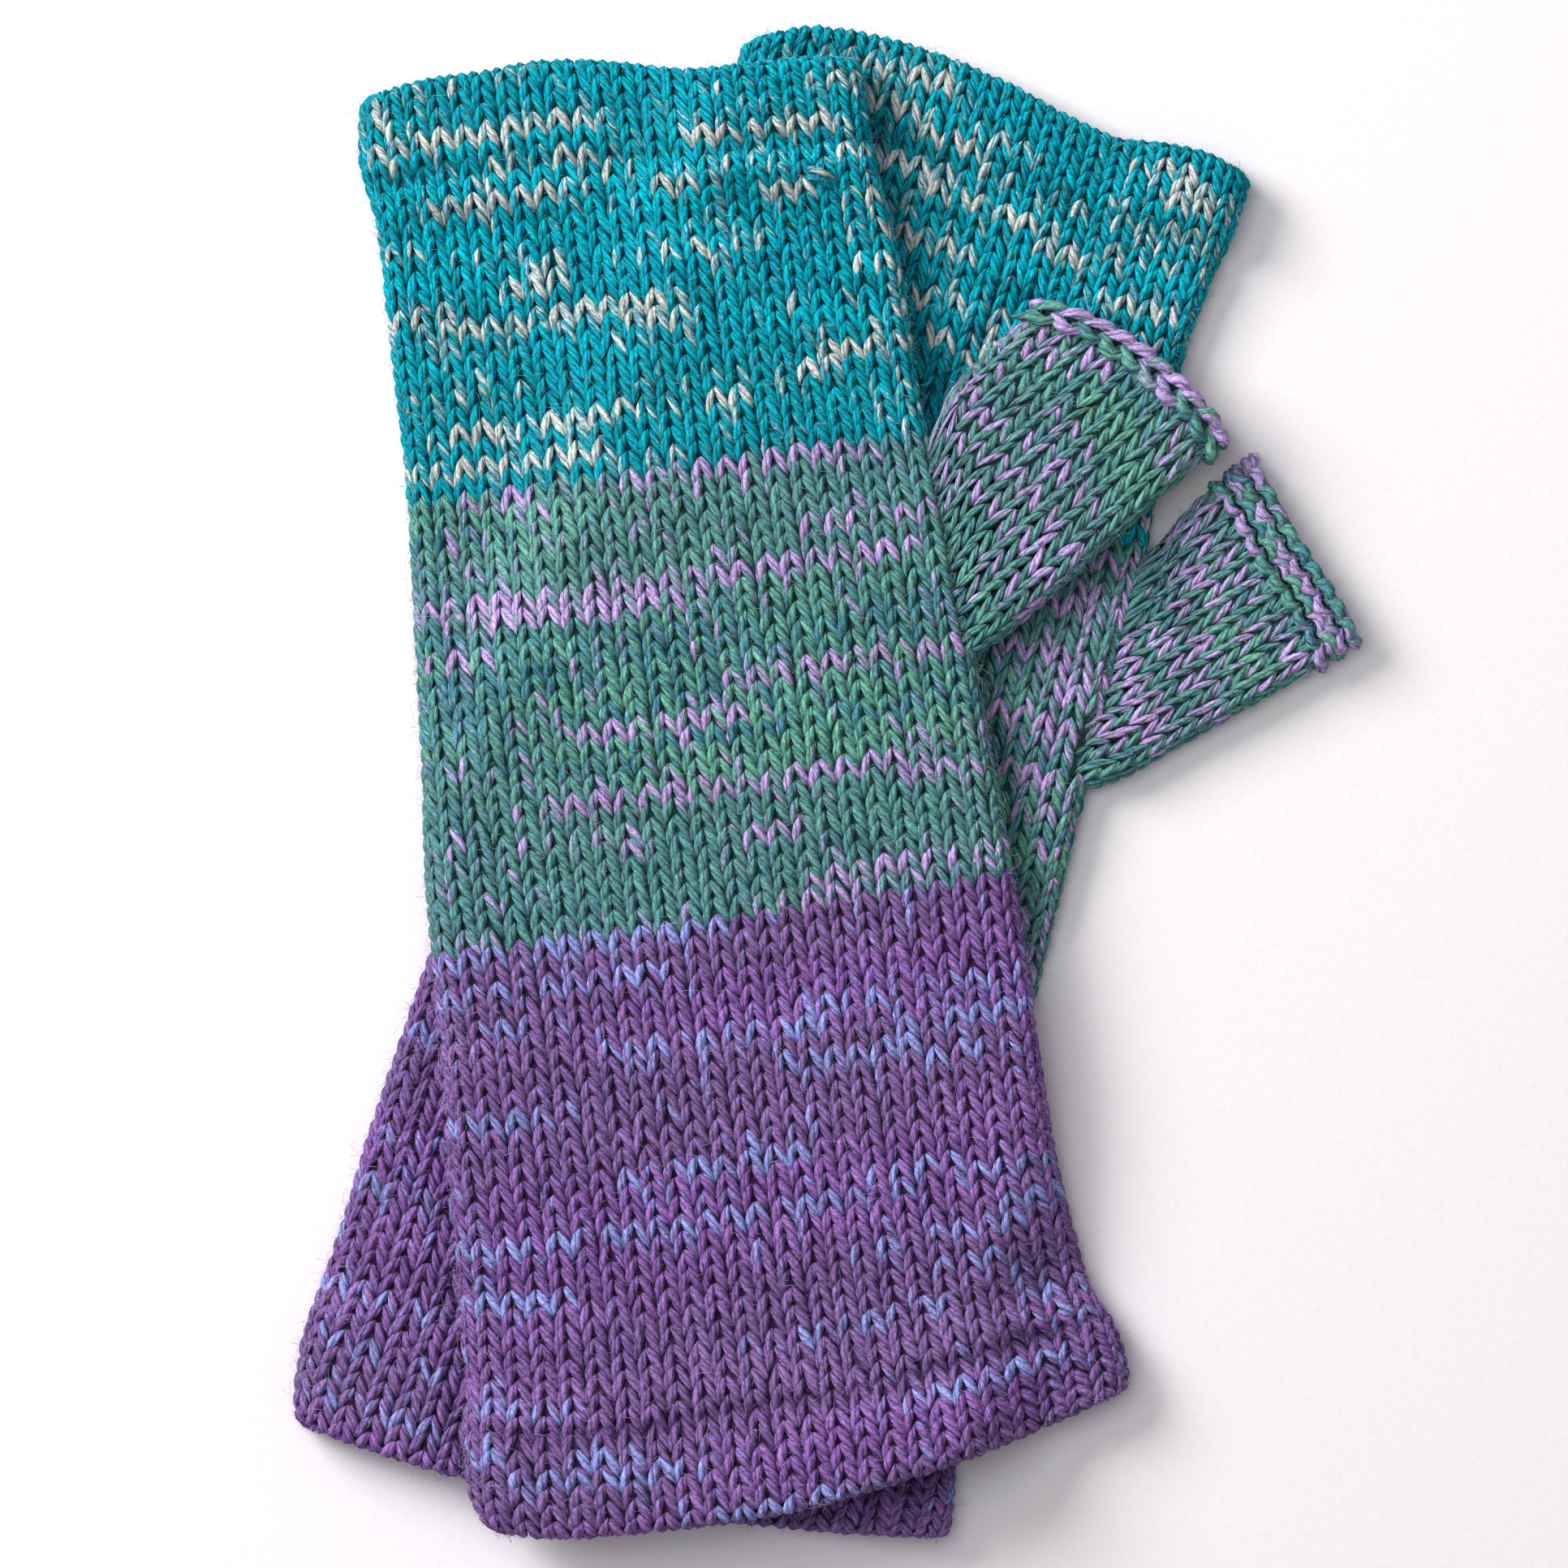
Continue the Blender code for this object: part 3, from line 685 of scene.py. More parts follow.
def seen(red, green, blue):
    """A colour as it is seen, from 0 to 255, as the linear colour that a shader takes."""
    share = np.array([red, green, blue]) / 255
    linear = np.where(share <= 0.04045, share / 12.92, ((share + 0.055) / 1.055) ** 2.4)
    return (*linear.tolist(), 1.0)


# %% The yarn
PLIES = 3
TWIST = 0.27
PLY_RELIEF = 0.00026
# Odd factors: the fraction of a sine times the last looks like chance, new for each ply and leg
PLY_FACTOR, SEED_FACTOR, SINE_FACTOR = 12.99, 78.2, 43.76


def yarn(name, shade_one, shade_two, mellow, fleck_colour):
    """Plied wool in two shades, whose plies take the fleck's colour one after another.

    mellow is a greyer shade that comes and goes over several rows.

    A point's ply is three times its turn round the yarn plus its length along it times the
    twist. A hair noise is fine across the plies and long along them. The grooves between plies
    are painted darker as painted shade, and a fine noise lightens and darkens the colour along
    the fibres, partly as painted highlights.
    """
    paint = Paint(name, roughness=0.95, sheen=0.12)
    paint.feed(paint.shader.inputs["Sheen Tint"], shade_two)
    around, along = paint.map("yarn")
    seed = paint.attribute("seed")
    wobble = paint.noise(around * 2.0, along * 0.5, seed * 60) - 0.5
    strand = around * PLIES + along * TWIST + wobble * 0.7 + seed * 7
    in_ply = paint.maths("FRACT", strand)
    ridge = paint.maths("SINE", in_ply * pi)
    ply = paint.maths("FLOOR", paint.maths("WRAP", strand, PLIES, 0.0))
    wave = paint.maths("SINE", ply * PLY_FACTOR + seed * SEED_FACTOR)
    chance = paint.maths("FRACT", wave * SINE_FACTOR)
    hairs = paint.noise(strand * 3.2, along * 0.55, seed * 40, detail=3.0)
    fine = paint.noise(strand * 9.0, along * 1.3, seed * 90)
    shade = paint.attribute("shade") * 0.45 + chance * 0.55 + (hairs - 0.5) * 1.6
    shade = paint.smooth(shade, 0.15, 0.85)
    flecked = paint.attribute("fleck") * 0.95 - chance + (hairs - 0.5) * 0.9
    flecked = paint.smooth(flecked, -0.05, 0.35)
    colour = paint.mix(shade, shade_one, shade_two)
    colour = paint.mix(paint.attribute("mellow") * 0.65, colour, mellow)
    colour = paint.mix(flecked, colour, fleck_colour)
    loose = paint.lines(520.0, 0.012)
    ply_tone = paint.maths("FRACT", chance * 7.31 + seed)
    # Painted shade: the colour is darkened in the grooves between plies, where ridge is low.
    light = paint.attribute("tone") * (0.56 + 0.44 * paint.smooth(ridge, 0.0, 0.7))
    light = light * (0.88 + 0.22 * ply_tone)
    # Painted highlights, with random tone: a fine noise lightens and darkens the colour along the
    # fibres.
    light = light * (0.54 + 0.94 * paint.smooth(fine, 0.32, 0.70)) + loose * 0.18
    raised = ridge + hairs * 0.25 + fine * 0.2
    return paint.finish(paint.scaled(colour, light), raised, PLY_RELIEF)


YARNS = {
    "teal": yarn("teal wool", seen(0, 134, 154), seen(0, 168, 186), seen(10, 142, 158),
                 seen(190, 198, 195)),
    "green": yarn("green wool", seen(62, 120, 138), seen(102, 162, 140), seen(86, 134, 138),
                  seen(180, 154, 208)),
    "purple": yarn("purple wool", seen(108, 74, 138), seen(146, 104, 174), seen(116, 93, 138),
                   seen(138, 146, 208)),
}

# %% The cloth behind the stitches, painted dark as shade
CLOTH_RELIEF = 0.0005


def shaded_cloth_material(name, dark, light):
    """The back of the knitting, seen deep between stitches and inside the mouths. Its colours are
    the wool's, painted much darker as painted shade, for the shade deep between the stitches.

    Its bumps are rows of small arcs: a wave across each wale, moved half a wale in every second
    row, times a wave over each row.
    """
    paint = Paint(name, roughness=1.0, sheen=0.15)
    wale, row = paint.map("rows")
    odd = paint.maths("PINGPONG", row, 1.0)
    across = paint.maths("SINE", (wale + 0.5 * paint.smooth(odd, 0.4, 0.6)) * (2 * pi))
    over = paint.maths("SINE", row * (2 * pi))
    hairs = paint.noise(wale * 9, row * 7, 0.0, detail=4.0)
    arcs = across * over * 0.5 + 0.5
    # Painted shade and highlight: lighter on the raised arcs and darker between them, and varied at
    # random by the hair noise.
    colour = paint.mix(paint.smooth(hairs * 0.6 + arcs * 0.4, 0.25, 0.75), dark, light)
    return paint.finish(colour, arcs + hairs * 0.5, CLOTH_RELIEF)


# Painted shade: each cloth's two colours are far darker than its wool's.
SHADED_CLOTHS = {
    "teal": shaded_cloth_material("teal cloth in painted shade", seen(0, 44, 56), seen(0, 96, 112)),
    "green": shaded_cloth_material("green cloth in painted shade", seen(20, 42, 48), seen(48, 92, 92)),
    "purple": shaded_cloth_material("purple cloth in painted shade", seen(34, 20, 44), seen(76, 50, 96)),
}
print("materials:", ", ".join(material.name for material in bpy.data.materials))

# %% [markdown]
# ## The stitches
#
# A stitch is an arrowhead that points to the fingers: two legs of yarn come up together out of
# the stitch above, spread, swell and dive behind the next arrowhead below. One leg is a short
# table of stations. The tables are in row heights and wale widths, so a leg fits any stripe.
# Where stitches face the camera a leg has five sides and seven stations. On the undersides and
# under the upper mitten a leg has four sides and three stations, which is ample there.

# %% One leg of a stitch
LEG_COLUMNS = "drop aside out width"
FINE_LEG = table(LEG_COLUMNS, """
    -0.12 0.045 -0.9 0.38, 0.08 0.1 -0.56 0.61, 0.36 0.185 -0.36 0.81, 0.72 0.285 -0.31 0.87,
    1.06 0.365 -0.48 0.81, 1.36 0.42 -0.78 0.59, 1.62 0.455 -1.12 0.3
""")
PLAIN_LEG = table(LEG_COLUMNS, """
    -0.05 0.08 -0.8 0.5, 0.66 0.265 -0.34 0.9, 1.5 0.43 -0.9 0.4
""")
LEAN = 0.015
LEFT_SLIMMER = 0.97
PROUD = 0.34
FINE_SIDES = 5
PLAIN_SIDES = 4
WALE_WIDTH = 4.3
ROW_HEIGHT = 3.05
THICKNESS = 0.78
# How far chance changes a leg: length, spread, place across and along, width and height
LEG_CHANCE = (0.05, 0.05, 0.03, 0.15, 0.08, 0.07)


def tubes(surface, wale, place, x, y, out, width, thickness, sides):
    """Tubes round flat centrelines, bent onto a surface from each one's wale and place.

    x, y, height and half-width are given at (tubes, stations). A ring's point is the centreline,
    plus the sideways direction times the half-width times cos, with its height the centreline's
    plus the half-thickness times sin.
    """
    dx, dy = np.gradient(x, axis=1), np.gradient(y, axis=1)
    turn = 2 * pi * np.arange(sides) / sides + pi / 2
    aside = (width / np.hypot(dx, dy))[..., None] * np.cos(turn)
    ring_x = x[..., None] - dy[..., None] * aside
    ring_y = y[..., None] + dx[..., None] * aside
    ring_out = out[..., None] + (width * thickness)[..., None] * np.sin(turn)
    wale, place = wale[:, None, None], place[:, None, None]
    points = surface(wale + ring_x / WALE_WIDTH, place + ring_y, ring_out)
    spans = np.hypot(np.diff(x), np.diff(y))
    length = np.concatenate([np.zeros((len(x), 1)), np.cumsum(spans, axis=1)], axis=1)
    return {"points": points, "length": length}


def stitch_legs(surface, wale, place, row_height, shape, sides, rng):
    """Both legs of stitches at given wales, with their points at given places along the cloth.

    Each leg is moved, turned, swelled and sunk a little by chance, as hand knitting is.
    """
    flip = np.repeat([-1.0, 1.0], len(wale))[:, None]
    count = len(flip)
    chances = rng.normal(0, 1, (count, len(LEG_CHANCE))) * LEG_CHANCE
    length, spread, across, along, swell, rise = chances.T[..., None]
    drop = shape["drop"] * (1 + length)
    aside = flip * shape["aside"] * (1 + spread) + across
    x = (aside + LEAN * drop) * WALE_WIDTH
    y = -drop * row_height + along
    width = shape["width"] * (1 + swell) * np.where(flip < 0, LEFT_SLIMMER, 1)
    out = np.minimum(shape["out"] + rise, PROUD - width * THICKNESS)
    wale, place = np.tile(wale, 2), np.tile(place, 2)
    return tubes(surface, wale, place, x, y, out, width, THICKNESS, sides)


# %% Many tubes as one piece
CELL_MARGIN = 0.06


def tube_faces(count, stations, sides):
    """Quads along each tube and a many-sided cap at both its ends, all facing outwards."""
    here = np.arange(sides)
    following = (here + 1) % sides
    start = (np.arange(stations - 1) * sides)[:, None]
    quads = np.stack([start + here, start + following, start + following + sides,
                      start + here + sides], -1).reshape(-1, 4)
    caps = np.stack([here[::-1], here + (stations - 1) * sides])
    tube = (np.arange(count) * stations * sides)[:, None, None]
    return (tube + quads).reshape(-1, 4), (tube + caps).reshape(-1, sides)


def tube_maps(length, sides, cell, cells):
    """Corner places for tube_faces on two maps.

    yarn has the turn round the tube and the millimetres along it. OFBake lays each tube, slit
    and rolled flat, in its own cell of a square sheet of cells.
    """
    count, stations = length.shape
    here = np.arange(sides)
    turn_quads = np.stack([here, here + 1, here + 1, here], -1) / sides
    turn_quads = np.tile(turn_quads, (count, stations - 1, 1))
    along_quads = np.stack([length[:, :-1], length[:, :-1], length[:, 1:], length[:, 1:]], -1)
    along_quads = np.repeat(along_quads, sides, axis=1)
    turn_caps = np.tile(np.stack([here[::-1], here]) / sides, (count, 1, 1))
    along_caps = np.repeat(length[:, [0, -1], None], sides, axis=2)
    corner = np.stack([cell % cells, cell // cells], -1)[:, None, None] + CELL_MARGIN
    yarn_map, bake_map = [], []
    for turn, along in ((turn_quads, along_quads), (turn_caps, along_caps)):
        yarn_map.append(np.stack([turn, along], -1).reshape(-1, turn.shape[2], 2))
        share = np.stack([turn, along / length[:, -1:, None]], -1)
        places = (corner + (1 - 2 * CELL_MARGIN) * share) / cells
        bake_map.append(places.reshape(-1, turn.shape[2], 2))
    return yarn_map, bake_map


def yarn_piece(name, groups, material):
    """One piece from groups of tubes, each with its points, lengths and a number for each tube."""
    total = sum(len(g["length"]) for g in groups)
    cells = int(np.ceil(np.sqrt(total)))
    points, faces, yarn_map, bake_map = [], [], [], []
    values = {key: [] for key in ("shade", "tone", "fleck", "seed", "mellow")}
    first_tube = first_point = 0
    for group in groups:
        count, stations, sides = group["points"].shape[:3]
        points.append(group["points"].reshape(-1, 3))
        faces += [f + first_point for f in tube_faces(count, stations, sides)]
        cell = np.arange(count) + first_tube
        yarn_corners, bake_corners = tube_maps(group["length"], sides, cell, cells)
        yarn_map += yarn_corners
        bake_map += bake_corners
        for key, numbers in values.items():
            numbers.append(np.repeat(group[key], stations * sides))
        first_tube += count
        first_point += count * stations * sides
    values = {key: np.concatenate(numbers) for key, numbers in values.items()}
    return piece_from(name, np.concatenate(points), faces,
                      {"OFBake": bake_map, "yarn": yarn_map}, values, material)


# %% [markdown]
# ## The chart
#
# The flecks are charted as a knitter would note them: each run has the row at its left
# end and at its right, the wales that it covers, and how fully it takes the colour. They are
# given for the parts of the pair that show. The hidden faces get like runs by chance.

# %% Runs of flecks
RUN_COLUMNS = "row_left row_right left right amount"
UPPER_RUNS = table(RUN_COLUMNS, """
    0 0 -4 1 0.8, 3 3 -7 -3 0.7, 3 4 -10 -7 0.8, 4 4 5 10 0.8, 4 5 -12 -11 0.6, 7 6 9 12 0.7,
    7 7 -12 -9 0.8, 8 8 10 11 0.8, 9 9 1 6 0.8, 11 10 7 10 0.6, 13 13 -12 -9 0.9, 13 13 4 10 0.6,
    14 14 10 11 0.9, 16 16 -13 5 0.9, 17 16 5 11 0.8, 19 19 -6 1 0.8, 23 23 -12 -8 0.8,
    23 23 6 10 0.7, 24 25 2 11 0.9, 26 27 -5 11 0.8, 28 28 -11 -9 0.7, 30 30 -13 -3 0.8,
    32 32 -13 -1 0.9, 33 33 2 3 0.8, 33 33 4 8 0.5, 34 34 4 11 0.9, 37 37 1 3 0.8,
    38 37 -5 -4 0.5, 38 38 -8 -7 0.35, 39 39 8 11 0.6, 40 40 -7 8 0.9, 41 41 9 11 0.7,
    43 43 -11 -10 0.4, 44 44 -6 2 0.9, 46 46 2 11 0.9, 48 48 -4 -4 0.3, 48 48 10 11 0.5,
    49 49 -11 -9 0.8, 51 51 -9 -1 1, 51 51 0 1 0.7, 52 52 -11 9 1, 54 54 6 8 0.9, 54 54 9 11 0.8,
    58 58 -8 -6 0.9, 58 58 -1 8 0.9, 60 60 -11 -8 0.9, 60 60 -7 -3 1, 62 62 -9 -3 0.9,
    62 62 -2 -1 0.8, 62 62 0 0 0.9, 62 62 2 3 0.8, 63 64 6 9 0.8, 64 64 -11 -10 0.6,
    64 64 -9 -6 0.45, 65 65 -8 -5 0.2, 67 67 0 1 0.9, 68 68 -9 1 1, 69 69 -11 -9 0.8,
    70 70 -5 -4 0.8, 71 71 -4 -4 0.9, 71 71 2 3 0.7, 71 71 5 5 0.7, 72 72 -7 -4 0.3,
    73 73 -10 -10 0.6, 74 74 6 7 0.8, 75 75 -8 -3 1, 75 75 2 3 0.45, 76 76 3 7 0.45,
    77 77 -5 -2 0.85, 78 78 3 9 0.95, 79 79 -10 -1 1, 81 81 -12 -9 0.5, 82 82 -9 -4 0.4,
    61 61 10 12 0.7, 64 64 11 12 0.9, 66 66 10 11 0.8, 69 68 10 12 0.8, 71 71 10 12 0.6,
    73 73 10 12 0.8, 76 76 9 12 0.6, 78 78 10 11 0.5, 81 81 9 10 1, 72 72 4 5 0.4, 76 76 -1 0 0.4,
    78 78 4 5 0.5
""")
LOWER_RUNS = table(RUN_COLUMNS, """
    1 0 -3 6 0.5, 2 2 -12 -8 0.7, 5 5 -12 -6 0.5, 8 8 -13 -9 0.8, 14 14 -13 -10 0.9,
    17 17 -13 -10 0.6, 23 23 -13 -10 0.7, 25 25 -12 -10 0.5, 35 35 9 11 0.7, 38 38 9 11 0.8,
    42 42 8 11 0.6, 46 46 6 11 0.9, 49 49 6 11 0.9, 53 52 6 11 0.95, 56 56 6 11 0.85,
    59 59 7 11 0.9, 62 62 5 11 0.8, 64 64 4 8 0.6, 67 67 6 10 0.8, 68 68 2 5 0.5, 69 69 0 2 0.6,
    70 69 3 8 0.5, 71 71 -1 2 0.7, 74 74 -3 0 0.8, 74 74 7 10 0.8, 76 76 4 6 0.8, 78 76 -4 6 0.9,
    79 79 7 10 0.8, 80 81 -3 2 0.7, 83 82 7 10 0.9, 83 83 -6 -2 0.8, 81 81 8 11 0.7,
    77 77 7 11 0.6, 72 72 5 9 0.7, 82 81 -10 -3 0.7, 79 79 1 4 0.5, 75 75 -5 -3 0.7,
    36 36 11 12 0.8, 40 40 10 12 0.8, 44 44 9 12 0.8, 48 48 10 12 0.7, 51 51 8 12 0.6,
    57 58 9 12 0.6
""")
UPPER_THUMB_RUNS = table(RUN_COLUMNS, """
    1 1 -5 -1 0.8, 1 1 3 5 0.8, 2 2 -5 -3 0.7, 2 2 4 4 0.6, 3 5 -6 -4 0.8, 5 5 -1 1 0.6,
    6 6 -6 -4 0.7, 7 7 -3 3 0.85, 8 8 -6 -4 0.6, 9 9 -4 4 0.95, 11 11 -4 4 0.9, 12 12 2 5 0.6,
    13 13 2 5 0.7
""")
LOWER_THUMB_RUNS = table(RUN_COLUMNS, """
    1 1 -5 5 0.7, 2 2 -5 -1 0.6, 3 3 -2 4 0.8, 4 5 -5 2 0.8, 6 6 0 5 0.65, 7 7 -1 4 0.75,
    9 9 -3 4 0.95, 10 10 -4 4 0.9, 11 11 -1 3 0.45, 12 12 -3 3 0.95, 13 13 -2 2 0.6, 5 5 -6 -5 0.7
""")


CHANCE_OF_RUN = 0.55
SHORTEST_RUN = 3


def runs_by_chance(rng, rows, first, last, wide):
    """Runs on faces that the chart leaves out: each row may have one, at random wales."""
    row = np.flatnonzero(rng.random(rows) < CHANCE_OF_RUN).astype(float)
    left = rng.uniform(first, last, len(row))
    reach = rng.uniform(SHORTEST_RUN, wide, len(row))
    amount = rng.uniform(0.4, 1.0, len(row))
    return dict(zip(RUN_COLUMNS.split(), (row, row, left, left + reach, amount)))


NEXT_ROW_SHARE = 0.22


def flecks(runs, wale, row):
    """How fully each stitch takes the fleck's colour: the strongest run at its wale and row."""
    wale, row = wale[:, None], row[:, None]
    share = np.clip((wale - runs["left"]) / np.maximum(runs["right"] - runs["left"], 1), 0, 1)
    at = runs["row_left"] + (runs["row_right"] - runs["row_left"]) * share
    past = np.maximum(runs["left"] - wale, wale - runs["right"])
    off = np.abs(row - at)
    near = np.where(off < 0.55, 1.0, np.where(off < 1.55, NEXT_ROW_SHARE, 0.0))
    strength = runs["amount"] * fade((past - 0.2) / 0.9) * near
    return strength.max(axis=1)


ROW_OFFSET = 30
WALE_OFFSET = 60
PATCH_ROWS = 3.6
PATCH_WALES = 16.0


def patches(rng, wale, row):
    """A number from 0 to 1 that drifts over about four rows and over about sixteen wales."""
    knots = rng.random((60, 12))
    up, across = (row + ROW_OFFSET) / PATCH_ROWS, (wale + WALE_OFFSET) / PATCH_WALES
    up = np.floor(up) + fade(1 - up % 1)
    return between(knots, up, np.floor(across) + fade(1 - across % 1))


def along_yarn(rng, wale, row, reach):
    """A number from 0 to 1 that drifts along each row and is new in every row."""
    knots = rng.random((200, 40))
    return between(knots, np.floor(row + ROW_OFFSET), (wale + WALE_OFFSET) / reach)


# %% The hands' stitches
HEM_ROWS = 4
FINE_WALES = 13.6
COVER_REACH = 5.0
SLOT_WALES = 1.0
SLOT_END = 3
SHADE_SEED, TONE_SEED, MELLOW_SEED = 5, 6, 7
# The share of legs that show a little of the fleck's colour outside the runs
MARL = {"purple": 0.14, "green": 0.34, "teal": 0.08}
FLECK_SHARE = {"purple": 0.97, "green": 0.95, "teal": 1.0}


def course_of_row(mitten, row):
    """Distance along the cloth to the upper end of a row, past both ends of the hand too."""
    inner = np.interp(row, mitten.rows, mitten.ends)
    step = np.diff(mitten.ends) / np.diff(mitten.rows)
    before = np.minimum(row, 0) * step[0]
    after = np.maximum(row - mitten.rows[-1], 0) * step[-1]
    return inner + before + after


def covered(mitten, wale, course):
    """Where the lower mitten's stitches lie well under the upper one."""
    if mitten is UPPER:
        return np.zeros(len(wale), bool)
    place = hand_point(mitten, wale, course, np.zeros(len(wale)))
    x = place[:, 0] / MM + PAIR_MIDDLE[0]
    y = place[:, 1] / MM + PAIR_MIDDLE[1]
    return beyond(*to_mitten(UPPER, x, y), inset(hand_outline(UPPER), COVER_REACH, HALF_HAND)) == 0


def at_slot(mitten, wale, course):
    """Where the thumb's opening leaves out stitches of the right side fold."""
    _, high, fold, girth = ring_size(mitten, course)
    middle = (high + fold * pi / 2) * HAND_WALES / girth
    inside = (course > mitten.slot[0] + SLOT_END) & (course < mitten.slot[1] - SLOT_END)
    return inside & (np.abs(wale - middle) < SLOT_WALES)


def yarn_numbers(rng, runs, wale, row, colour):
    """Shade, tone, fleck, seed and mellowness for both legs of each stitch."""
    shade = along_yarn(np.random.default_rng(SHADE_SEED), wale, row, 5.0)
    tone = 0.86 + 0.28 * along_yarn(np.random.default_rng(TONE_SEED), wale, row, 2.5)
    fleck = flecks(runs, wale, row) * FLECK_SHARE[colour]
    mellow = fade(1.5 - 2 * patches(np.random.default_rng(MELLOW_SEED), wale, row))
    count = 2 * len(wale)
    stray = np.where(rng.random(count) < MARL[colour], rng.uniform(0.1, 0.4, count), 0.0)
    return {
        "shade": np.tile(shade, 2) + rng.normal(0, 0.06, count),
        "tone": np.tile(tone, 2) * rng.normal(1, 0.05, count),
        "fleck": np.maximum(np.tile(fleck, 2) + rng.normal(0, 0.05, count), stray),
        "seed": rng.random(count),
        "mellow": np.tile(mellow, 2),
    }


def stripe_span(limits, stripe, past):
    """Where a stripe starts and ends, with the first and the last going on past the hand's end."""
    return limits[stripe] - past * (stripe == 0), limits[stripe + 1] + past * (stripe == 2)


def stitch_grid(first, last, wales):
    """The row and the wale of every stitch in a tube of so many wales, as two flat arrays."""
    grid = np.meshgrid(np.arange(first, last), np.arange(wales) - wales / 2 + 0.5, indexing="ij")
    return [numbers.ravel().astype(float) for numbers in grid]


def stitch_piece(name, surface, stitch, at, place, fine, row_height, leg_share, colour, runs, rng):
    """One piece of stitches, of which the fine ones have more sides and stations.

    stitch is the row and wale by the chart, and at and place are where its upper end lies.
    """
    groups = []
    for chosen, shape, sides in ((fine, FINE_LEG, FINE_SIDES), (~fine, PLAIN_LEG, PLAIN_SIDES)):
        if chosen.any():
            shape = dict(shape, width=shape["width"] * leg_share)
            row, wale = stitch[0][chosen], stitch[1][chosen]
            group = stitch_legs(surface, at[chosen], place[chosen], row_height, shape, sides, rng)
            groups.append(group | yarn_numbers(rng, runs, wale, row, colour))
    return yarn_piece(name, groups, YARNS[colour])


def hand_stripe(mitten, colour, stripe, rng, runs):
    """One stripe's stitches, with the rows of its hem that turn in at the end."""
    row, wale = stitch_grid(*stripe_span(mitten.rows, stripe, HEM_ROWS), HAND_WALES)
    place = course_of_row(mitten, row + 1)
    keep = ~at_slot(mitten, wale, place - ROW_HEIGHT / 2)
    row, wale, place = row[keep], wale[keep], place[keep]
    turned = (row < -2) | (row > mitten.rows[-1] + 1)
    fine = (np.abs(wale) < FINE_WALES) & ~turned & ~covered(mitten, wale, place)
    wander = 0.10 * np.sin(wale * 0.9 + row * 0.05) + 0.07 * np.sin(row * 0.37 + wale * 2.1)
    place = place + 0.9 * wander + 0.25 * np.sin(wale * 0.31 + row * 0.11)
    name = f"{mitten.name}_{colour}_stitches"
    at = wale - 0.09 + 0.3 * wander
    return stitch_piece(name, partial(hand_point, mitten), (row, wale), at, place, fine,
                        ROW_HEIGHT, 1.0, colour, runs, rng)


STRIPES = ("purple", "green", "teal")
# First wale, last wale and widest run
HIDDEN_SPANS = ((12, 24, 9), (-24, -19, 6))
for mitten, charted, seed in ((LOWER, LOWER_RUNS, 11), (UPPER, UPPER_RUNS, 12)):
    rng = np.random.default_rng(seed)
    hidden = [runs_by_chance(rng, mitten.rows[-1], *span) for span in HIDDEN_SPANS]
    runs = {key: np.concatenate([charted[key]] + [h[key] for h in hidden]) for key in charted}
    for stripe, colour in enumerate(STRIPES):
        hand_stripe(mitten, colour, stripe, rng, runs)

# %% [markdown]
# ### Thumbs
#
# A thumb is a short tube of the green wool. Its rows run parallel to its tip, so those near the
# hand are cut off one after another by the opening that they were picked up from. The upper
# thumb ends in a chain of cast-off stitches, which lie along the edge like a plait. The lower
# thumb ends in two rolled ridges of purl stitches.

# %% Thumb stitches
THUMB_ROWS = 18
THUMB_ROW_HEIGHT = 3.08
THUMB_FIRST_ROW = 1.2
THUMB_LEG_SHARE = 0.88
ROOT_DEPTH = 1.5
THUMB_FINE_WALES = THUMB_WALES / 4 + 1.6


def thumb_stitches(mitten, runs, rng):
    """The thumb's stitches, row by row from the tip, as far as its root inside the hand."""
    row, wale = stitch_grid(0, THUMB_ROWS, THUMB_WALES)
    ahead = -THUMB_FIRST_ROW - (row - 1) * THUMB_ROW_HEIGHT
    over = np.where(np.abs(wale) > THUMB_WALES / 4, np.sign(wale), wale * 4 / THUMB_WALES)
    keep = -ahead < thumb_reach(mitten, 0.0, over) + ROOT_DEPTH
    row, wale, ahead = row[keep], wale[keep], ahead[keep]
    fine = np.abs(wale) < THUMB_FINE_WALES
    name = f"{mitten.name}_thumb_stitches"
    return stitch_piece(name, partial(thumb_point, mitten), (row, wale), wale, ahead, fine,
                        THUMB_ROW_HEIGHT, THUMB_LEG_SHARE, "green", runs, rng)


thumb_stitches(LOWER, LOWER_THUMB_RUNS, np.random.default_rng(21))
thumb_stitches(UPPER, UPPER_THUMB_RUNS, np.random.default_rng(22))

# %% Cast-off edges
CHAIN_AHEAD = 2.0
INNER_SPREAD = 1.75
INNER_RISE = 0.5
EDGE_THICKNESS = 0.95
LILAC_OUTER = 0.88
LILAC_INNER = 0.40
RIDGE_AHEAD = (1.0, 2.9, 5.0, 6.9)
RIDGE_FLIP = (-1.0, 1.0, -1.0, 1.0)
KNOT = table("wale ahead flip", """
    -5.5 6 -1, -5 6.6 1, -5.4 7.6 -1, -5.1 8.2 1, -5.7 7 1
""")
LINK_COLUMNS = "along aside out width"
LINK = table(LINK_COLUMNS, """
    -0.62 0.05 -0.45 0.5, -0.32 0.52 0.35 1, 0.02 1.15 0.7 1.24, 0.4 1.4 0.62 1.18,
    0.76 0.85 0.15 0.9, 1 0.22 -0.65 0.45
""")
BUMP = table(LINK_COLUMNS, """
    -0.66 -0.9 -0.75 0.6, -0.42 -0.02 0.02 0.94, -0.15 0.6 0.42 1.1, 0.15 0.6 0.42 1.1,
    0.42 -0.02 0.02 0.94, 0.66 -0.9 -0.75 0.6
""")


